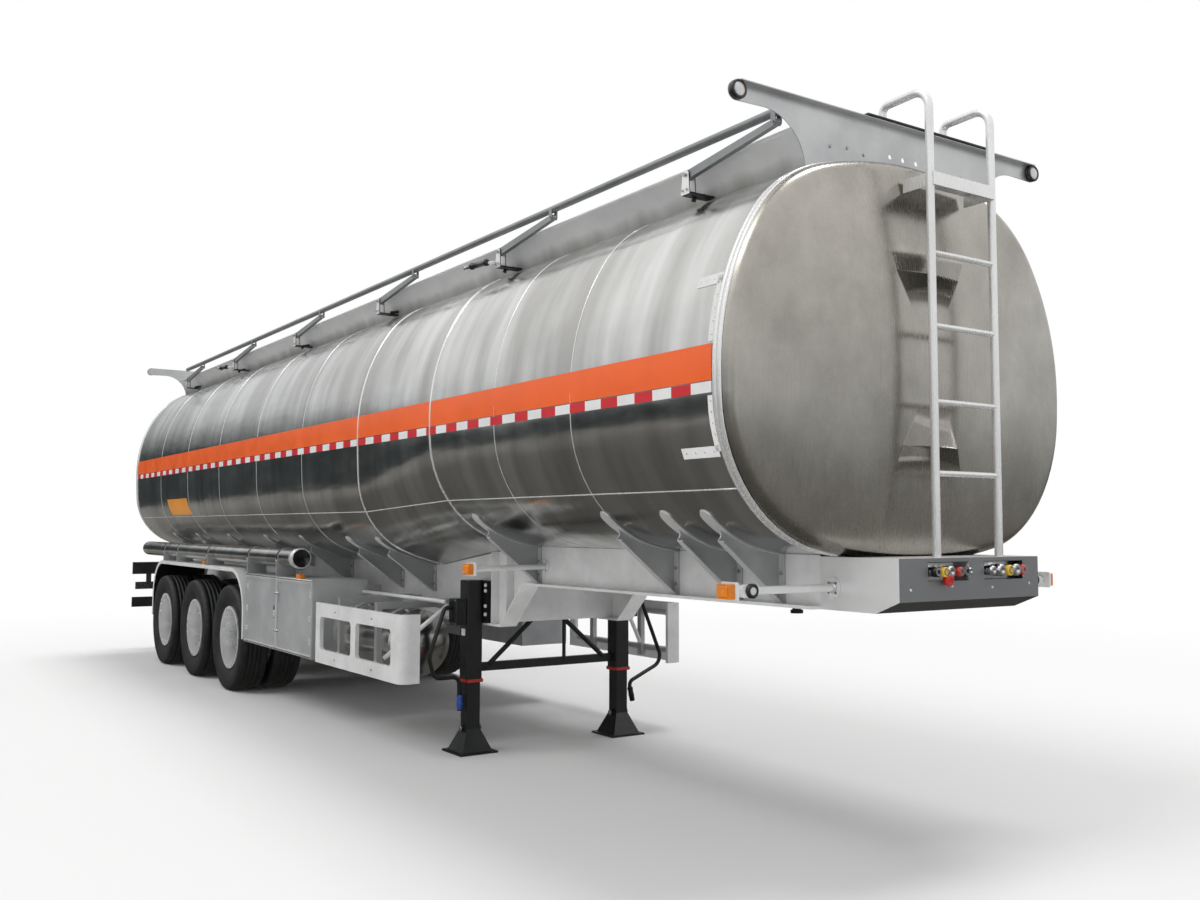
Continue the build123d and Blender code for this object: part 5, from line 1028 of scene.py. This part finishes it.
print("couplings coloured")


# Landing gear: collar bands, gearbox ribs, bolts, blank stickers, foot pins and crank grips
legs = {"at": 3.9, "y": 0.655, "collar": 0.0676, "faceY": 0.7176, "gearboxY": 0.8075, "bracketY": 0.5925,
        "footPin": 0.0765, "footZ": 0.17}
washer = [(0.0, 0.0), (0.02, 0.0), (0.022, 0.003), (0.02, 0.006), (0.008, 0.007), (0.0, 0.007)]
for side, letter in bothSides:
    s, x, mid, gearboxY = legs["at"], at(legs["at"]), side * legs["y"], legs["gearboxY"]
    for n, (dx, dy) in enumerate(((1, 0), (-1, 0), (0, 1), (0, -1)), 1):
        spot = (x + dx * legs["collar"], mid + dy * legs["collar"], 0.513)
        band = plateMesh(f"collarBand{letter}{n}", spot, left if dx else front, upward, (dx, dy, 0),
                         (0.128, 0.022, 0.0016), redCap, corner=0.003, bevel=0.0006)
    start = (x - 0.04, side * (gearboxY + 0.001), 1.01)
    slatRow(f"gearboxRibs{letter}", start, (0.02, 0, 0), 5, (0.006, 0.008, 0.15), blackPaint)
    places = boltGrid((s + 0.1075, s - 0.1075), legs["bracketY"], (0.99, 1.05, 1.16, 1.2), side)
    fastenerField(f"bracketBolts{letter}", places, (0.014, 0.013, 0.010), whiteEnamel)
    places = boltGrid((s + 0.048, s - 0.048), gearboxY, (0.925, 1.095), side)
    fastenerField(f"gearboxBolts{letter}", places, (0.007, 0.006, 0.005), nutSteel)
    sticker = sidePlate(f"blankSticker{letter}", s, legs["faceY"], 0.86, side, (0.06, 0.05, 0.0008),
                        whiteFilm, corner=0.004, bevel=0.0003)
    for way in (1, -1):
        spot = (x, mid + way * legs["footPin"], legs["footZ"])
        latheMesh(f"footPinHead{letter}{way + 1}", washer, spot, (0, way, 0), nutSteel, steps=20)
grip = [(0.0205, 0.0), (0.0225, 0.003), (0.0225, 0.018), (0.0205, 0.022), (0.0205, 0.05), (0.0225, 0.054),
        (0.0225, 0.07), (0.0205, 0.074), (0.0205, 0.104), (0.014, 0.11), (0.0, 0.11)]
latheMesh("crankGripRight", grip, (at(legs["at"]), -0.7446, 0.411), (0, 0.0416, -1), blueGrip, steps=24)
latheMesh("crankGripLeft", grip, (at(legs["at"]), 0.7701, 0.352), (0, 0.227, -0.974), blackRubber, steps=24)
print("landing gear fitted")


# Mudguards: ribs under the crown, a bright edge strip and rivets
guard = {
    "front": 7.452, "rear": 11.16, "top": 1.215, "radius": 0.43, "foot": 0.545, "steps": 12,
    "innerY": 0.66, "edgeY": 1.2455, "lining": 0.0052, "bead": 0.036, "ribs": 12, "ribGap": 0.235,
}


# The arch's line from foot to foot, a shift inside the guard's outer face
def archPath(shift):
    nearS, farS = guard["front"] + guard["radius"], guard["rear"] - guard["radius"]
    midZ, radius, foot = guard["top"] - guard["radius"], guard["radius"] - shift, guard["foot"] + 0.002
    turns = [pi / 2 * n / guard["steps"] for n in range(guard["steps"] + 1)]
    path = [(guard["front"] + shift, foot)]
    path += [(nearS - radius * cos(a), midZ + radius * sin(a)) for a in turns]
    path += [(farS + radius * sin(a), midZ + radius * cos(a)) for a in turns]
    return path + [(guard["rear"] - shift, foot)]


for side, letter in bothSides:
    rows = archPath(guard["lining"])
    points = [(at(s), side * y, z) for s, z in rows for y in (guard["innerY"], guard["edgeY"])]
    sideSheet(f"archLining{letter}", points, len(rows), 2, side, blackRubber)
    path = [(at(s), side * guard["edgeY"], z) for s, z in archPath(guard["bead"])]
    barMesh(f"archBead{letter}", path, 0.003, whiteEnamel, steps=8)
    start, step = (at(7.95), side * 0.96, 1.2015), (-guard["ribGap"], 0, 0)
    slatRow(f"archRibs{letter}", start, step, guard["ribs"], (0.008, 0.56, 0.012), ribPlastic)
    places = boltGrid(spread(7.95, 10.66, 0.30), 1.2492, (1.198,), side)
    fastenerField(f"archRivets{letter}", places, (0.005, 0.0035, 0.0025), brightTrim, sides=10)
print("mudguards lined")


# Hose tube: dark clamp bands, a bright collar at the mouth and the dished lid
tube = {"y": -1.148, "z": 1.345, "front": 6.15, "lid": 6.1335, "boltY": 1.2385, "boltZ": 1.315,
        "clamps": (6.533, 7.388, 8.809, 10.079, 10.69)}
band = [(0.0885, -0.017), (0.0906, -0.016), (0.0906, 0.016), (0.0885, 0.017)]
collar = [(0.0853, -0.07), (0.0885, -0.068), (0.0885, -0.004), (0.0853, -0.002)]
lidRing = [(0.089, -0.010), (0.0902, -0.006), (0.0902, 0.003), (0.087, 0.0055), (0.078, 0.0045)]
lidPane = [(0.078, 0.0045), (0.074, 0.0012), (0.0, 0.0008)]
for n, s in enumerate(tube["clamps"], 1):
    bolt = boltGrid((s,), tube["boltY"], (tube["boltZ"],), -1)
    fastenerField(f"clampBolt{n}", bolt, (0.008, 0.007, 0.008), brightTrim)
for name, shape, s, finish, body in [
    ("tubeCollar", collar, tube["front"], brightRing, "trailer"),
    ("tubeLidRing", lidRing, tube["lid"], brightRing, "hose_tube_lid"),
    ("tubeLidPane", lidPane, tube["lid"], darkGloss, "hose_tube_lid"),
] + [(f"clampBand{n}", band, s, blackRubber, "trailer") for n, s in enumerate(tube["clamps"], 1)]:
    latheMesh(name, shape, (at(s), tube["y"], tube["z"]), (1, 0, 0), finish, body, 48)
print("hose tube dressed")


# Saddle brackets' root bolts, marker arms' flange bolts and collars
beamFit = {
    "roots": ((0.764, 1.30), (1.091, 1.30), (1.637, 1.30), (3.16, 1.30),
              (4.786, 1.17), (5.399, 1.17), (6.535, 1.17)),
    "rootY": 0.5233, "rootApart": 0.09,
    "flanges": ((0.407, 1.332, 0.5263), (3.09, 1.354, 0.5253)), "flangeCircle": 0.034,
    "collarAt": 0.407, "collarY": 0.5262, "collarZ": 1.332,
}
places = []
for s, z in beamFit["roots"]:
    for side in (1, -1):
        places += boltGrid((s,), beamFit["rootY"], (z, z + beamFit["rootApart"]), side)
fastenerField("rootBolts", places, (0.011, 0.010, 0.008), nutSteel)
places = []
for s, z, y in beamFit["flanges"]:
    for side in (1, -1):
        places += boltCircle(at(s), y, z, side, beamFit["flangeCircle"], 4, pi / 4)
fastenerField("flangeBolts", places, (0.0065, 0.006, 0.005), nutSteel)
ring = [(0.0195, 0.0), (0.027, 0.0), (0.027, 0.006), (0.0225, 0.011), (0.0195, 0.012)]
for side, letter in bothSides:
    spot = (at(beamFit["collarAt"]), side * beamFit["collarY"], beamFit["collarZ"])
    latheMesh(f"armCollarNose{letter}", ring, spot, (0, side, 0), brightTrim, steps=28)
print("bolts placed")


# Side guards' rails behind the boards with their bolts, pale blocks on the rear boards, pale frame bars
guardFit = {
    "railAt": 4.66, "railY": 1.2135, "railZ": (0.6075, 0.9275),
    "boltsAt": (4.33, 5.06), "boltY": 1.2452, "boltZ": (0.58, 0.95),
    "blockAt": 12.558, "blockY": 0.62, "blockZ": (0.615, 1.055),
}
frameBars = {
    "frameRail": (0.016, [(4.03, 0.80, 1.075), (5.58, 0.80, 1.075)]),
    "frameStrut": (0.017, [(4.02, 0.78, 1.05), (4.30, 1.16, 0.66)]),
}
for side, letter in bothSides:
    for n, z in enumerate(guardFit["railZ"], 1):
        spot = (at(guardFit["railAt"]), side * guardFit["railY"], z)
        rail = plateMesh(f"guardRail{letter}{n}", spot, front, upward, left * -side, (1.4, 0.03, 0.006),
                         plate, corner=0.004)
    places = boltGrid(guardFit["boltsAt"], guardFit["boltY"], guardFit["boltZ"], side)
    fastenerField(f"guardBolts{letter}", places, (0.009, 0.007, 0.004), nutSteel)
    for z in guardFit["blockZ"]:
        spot = (at(guardFit["blockAt"]), side * guardFit["blockY"], z)
        block = plateMesh(f"boardBlock{side + 1}{int(z * 10)}", spot, left, upward, front,
                          (0.11, 0.10, 0.05), whiteEnamel, corner=0.01, bevel=0.004)
    for name, (radius, path) in frameBars.items():
        places = [(at(s), side * y, z) for s, y, z in path]
        barMesh(f"{name}{letter}", places, radius, whiteEnamel, steps=10)
print("guards and boards fitted")


# Finishes of the CAD nodes
nodeFinish = {
    "wing_plates": plate, "coaming": coamingSheet, "walkway": plate, "manhole_collars": plate,
    "handrail_brackets": bracketPlate, "handrail_rail": railMetal, "outriggers": gussetPlate,
    "ladder": brightRing,
    "main_beams": framePaint, "cross_members": framePaint, "nose_box": paintedShadeNosePlate, "marker_arms": framePaint,
    "mudguards": framePaint, "cabinets": cabinetPlate, "side_guards": framePaint, "coupler_plate": blackPaint,
    "landing_legs": blackPaint, "landing_feet": blackPaint, "axles": blackPaint, "leaf_springs": blackPaint,
    "spring_hangers": blackPaint, "side_brackets": plate, "rear_bumper": blackPaint, "hose_tube": skin,
    "hose_tube_lid": skin, "reservoir": skin, "discharge_pipes": plate, "service_couplings": chromeFitting,
    "lamps": lampFinish,
}
for number in range(1, 4):
    nodeFinish[f"manhole_lid_{number}"] = plate
    for letter in ("left", "right"):
        nodeFinish[f"wheels_{letter}_{number}"] = wheelMetal
for number in range(1, 7):
    nodeFinish[f"handrail_post_{number}"] = railMetal
for letter in ("left", "right"):
    for end in ("front", "rear"):
        nodeFinish[f"cabinet_door_{letter}_{end}"] = cabinetPlate
for name, finish in nodeFinish.items():
    for entry in nodes[name].material_slots:
        entry.material = finish
print("CAD nodes finished")


# Studio: pale floor, white backdrop, soft light, camera

studio = {
    "floorReach": 60.0,
    "suns": {"softKey": (0.8, 30.0, (0.12, 0.62, -0.78)), "softTop": (1.2, 24.0, (0.05, -0.3, -0.95))},
    "ambient": 0.52, "fade": (7.0, 15.0),
    "eye": (9.801, -4.548, 1.62), "yaw": 34.089, "pitch": 3.919, "roll": 0.133, "lens": 33.966,
}


def floorMaterial():
    material, tree, shader, place = newMaterial("paleFloor", Base_Color=rgb("#f3f3f3"), Roughness=1.0,
                                                Specular_IOR_Level=0.0)
    white = addNode(tree, "ShaderNodeEmission", values={"Color": (1, 1, 1, 1), "Strength": 1.0})
    away = addNode(tree, "ShaderNodeVectorMath", {"operation": "LENGTH"}, {0: (place, "Object")})
    fade = addNode(tree, "ShaderNodeMapRange", {"interpolation_type": "SMOOTHSTEP"},
                   {"Value": (away, "Value")}, {"From Min": studio["fade"][0], "From Max": studio["fade"][1]})
    mix = addNode(tree, "ShaderNodeMixShader", links={
        0: (fade, "Result"), 1: (shader, "BSDF"), 2: (white, "Emission")})
    tree.links.new(mix.outputs["Shader"], tree.nodes["Material Output"].inputs["Surface"])
    return material


# A flat square round the middle that faces upwards
def groundSquare(name, reach, z, material):
    corners = [(-reach, -reach, z), (reach, -reach, z), (reach, reach, z), (-reach, reach, z)]
    return meshObject(name, corners, [(0, 1, 2, 3)], material, body=None, smooth=False)


floor = groundSquare("floor", studio["floorReach"], 0.0, floorMaterial())
floor.visible_glossy = False


# What polished sheet mirrors round the trailer: a dark horizon, hedges and open sky above it
horizon = {
    "radius": 27.0, "foot": -0.5, "top": 30.0, "steps": 64, "seed": 3.7, "lean": 0.11,
    "dark": "#3a3e3f", "mid": "#8b8e8f", "light": "#dfe1e2", "sky": "#ffffff", "yard": ("#7c7a75", "#8a8883"),
}


def horizonMaterial():
    material = bpy.data.materials.new("mirroredHorizon")
    material.use_nodes = True
    tree = material.node_tree
    tree.nodes.remove(tree.nodes["Principled BSDF"])
    place = addNode(tree, "ShaderNodeTexCoord")
    split = addNode(tree, "ShaderNodeSeparateXYZ", links={"Vector": (place, "Object")})
    wide = addNode(tree, "ShaderNodeMapping", links={"Vector": (place, "Object")},
                   values={"Scale": (1.0, 1.0, 0.25)})
    skyline = addNode(tree, "ShaderNodeTexNoise", {"noise_dimensions": "4D"}, {"Vector": (wide, "Vector")},
                      {"Scale": 0.16, "Detail": 4.0, "Roughness": 0.6, "W": horizon["seed"]})
    shift = addNode(tree, "ShaderNodeMapRange", links={"Value": (skyline, "Fac")},
                    values={"From Min": 0.25, "From Max": 0.75, "To Min": -2.6, "To Max": 2.6})
    links = {0: (split, "X"), 2: (shift, "Result")}
    lean = addNode(tree, "ShaderNodeMath", {"operation": "MULTIPLY_ADD"}, links, {1: horizon["lean"]})
    height = addNode(tree, "ShaderNodeMath", {"operation": "ADD"}, {0: (split, "Z"), 1: (lean, "Value")})
    scaled = addNode(tree, "ShaderNodeMath", {"operation": "DIVIDE"}, {0: (height, "Value")},
                     {1: horizon["top"]})
    stops = [(0.0, "dark"), (0.05, "dark"), (0.1, "mid"), (0.2, "light"), (0.6, "sky")]
    tone = ramp(tree, (scaled, "Value"), [(stop, horizon[key]) for stop, key in stops])
    glow = addNode(tree, "ShaderNodeEmission", links={"Color": (tone, "Color")}, values={"Strength": 1.0})
    tree.links.new(glow.outputs["Emission"], tree.nodes["Material Output"].inputs["Surface"])
    return material


def mirrorOnly(item):
    for ray in ("camera", "diffuse", "transmission", "volume_scatter", "shadow"):
        setattr(item, "visible_" + ray, False)


def horizonBand():
    steps, points = horizon["steps"], []
    for n in range(steps):
        angle = 2 * pi * n / steps
        for z in (horizon["foot"], horizon["top"]):
            points.append((horizon["radius"] * cos(angle), horizon["radius"] * sin(angle), z))
    faces = [(2 * n, 2 * n + 1, 2 * ((n + 1) % steps) + 1, 2 * ((n + 1) % steps)) for n in range(steps)]
    mirrorOnly(meshObject("horizonBand", points, faces, horizonMaterial(), body=None))


horizonBand()
yard = enamelPaint("mirroredYard", *horizon["yard"], 0.9, 0.0)
mirrorOnly(groundSquare("mirroredYard", horizon["radius"], -0.001, yard))

world = bpy.data.worlds.new("softStudio")
scene.world = world
world.use_nodes = True
tree = world.node_tree
background = tree.nodes["Background"]
background.inputs["Color"].default_value = (1.0, 1.0, 1.0, 1.0)
light = addNode(tree, "ShaderNodeLightPath")
links = {0: (light, "Is Camera Ray"), 1: (light, "Is Glossy Ray")}
direct = addNode(tree, "ShaderNodeMath", {"operation": "MAXIMUM"}, links)
links = {0: (direct, "Value"), 1: (light, "Is Transmission Ray")}
seen = addNode(tree, "ShaderNodeMath", {"operation": "MAXIMUM"}, links)
level = addNode(tree, "ShaderNodeMapRange", links={"Value": (seen, "Value")},
                values={"To Min": studio["ambient"], "To Max": 1.0})
tree.links.new(level.outputs["Result"], background.inputs["Strength"])

for name, (power, angle, direction) in studio["suns"].items():
    sun = bpy.data.lights.new(name, "SUN")
    sun.energy = power
    sun.angle = radians(angle)
    sunObject = bpy.data.objects.new(name, sun)
    scene.collection.objects.link(sunObject)
    sunObject.rotation_euler = Vector(direction).to_track_quat("-Z", "Y").to_euler()

camera = bpy.data.cameras.new("photoView")
camera.lens, camera.sensor_width, camera.sensor_fit = studio["lens"], 36.0, "HORIZONTAL"
camera.clip_end = 300.0
yaw, pitch, roll = (radians(studio[key]) for key in ("yaw", "pitch", "roll"))
forward = Vector((-cos(yaw) * cos(pitch), sin(yaw) * cos(pitch), sin(pitch)))
right = Vector((sin(yaw), cos(yaw), 0.0))
up = right.cross(forward)
turned = (right * cos(roll) + up * sin(roll), up * cos(roll) - right * sin(roll), -forward)
cameraObject = bpy.data.objects.new("photoView", camera)
scene.collection.objects.link(cameraObject)
cameraObject.rotation_euler = Matrix(turned).transposed().to_euler()
cameraObject.location = studio["eye"]
scene.camera = cameraObject
scene.view_settings.view_transform = "Standard"
print("studio set")
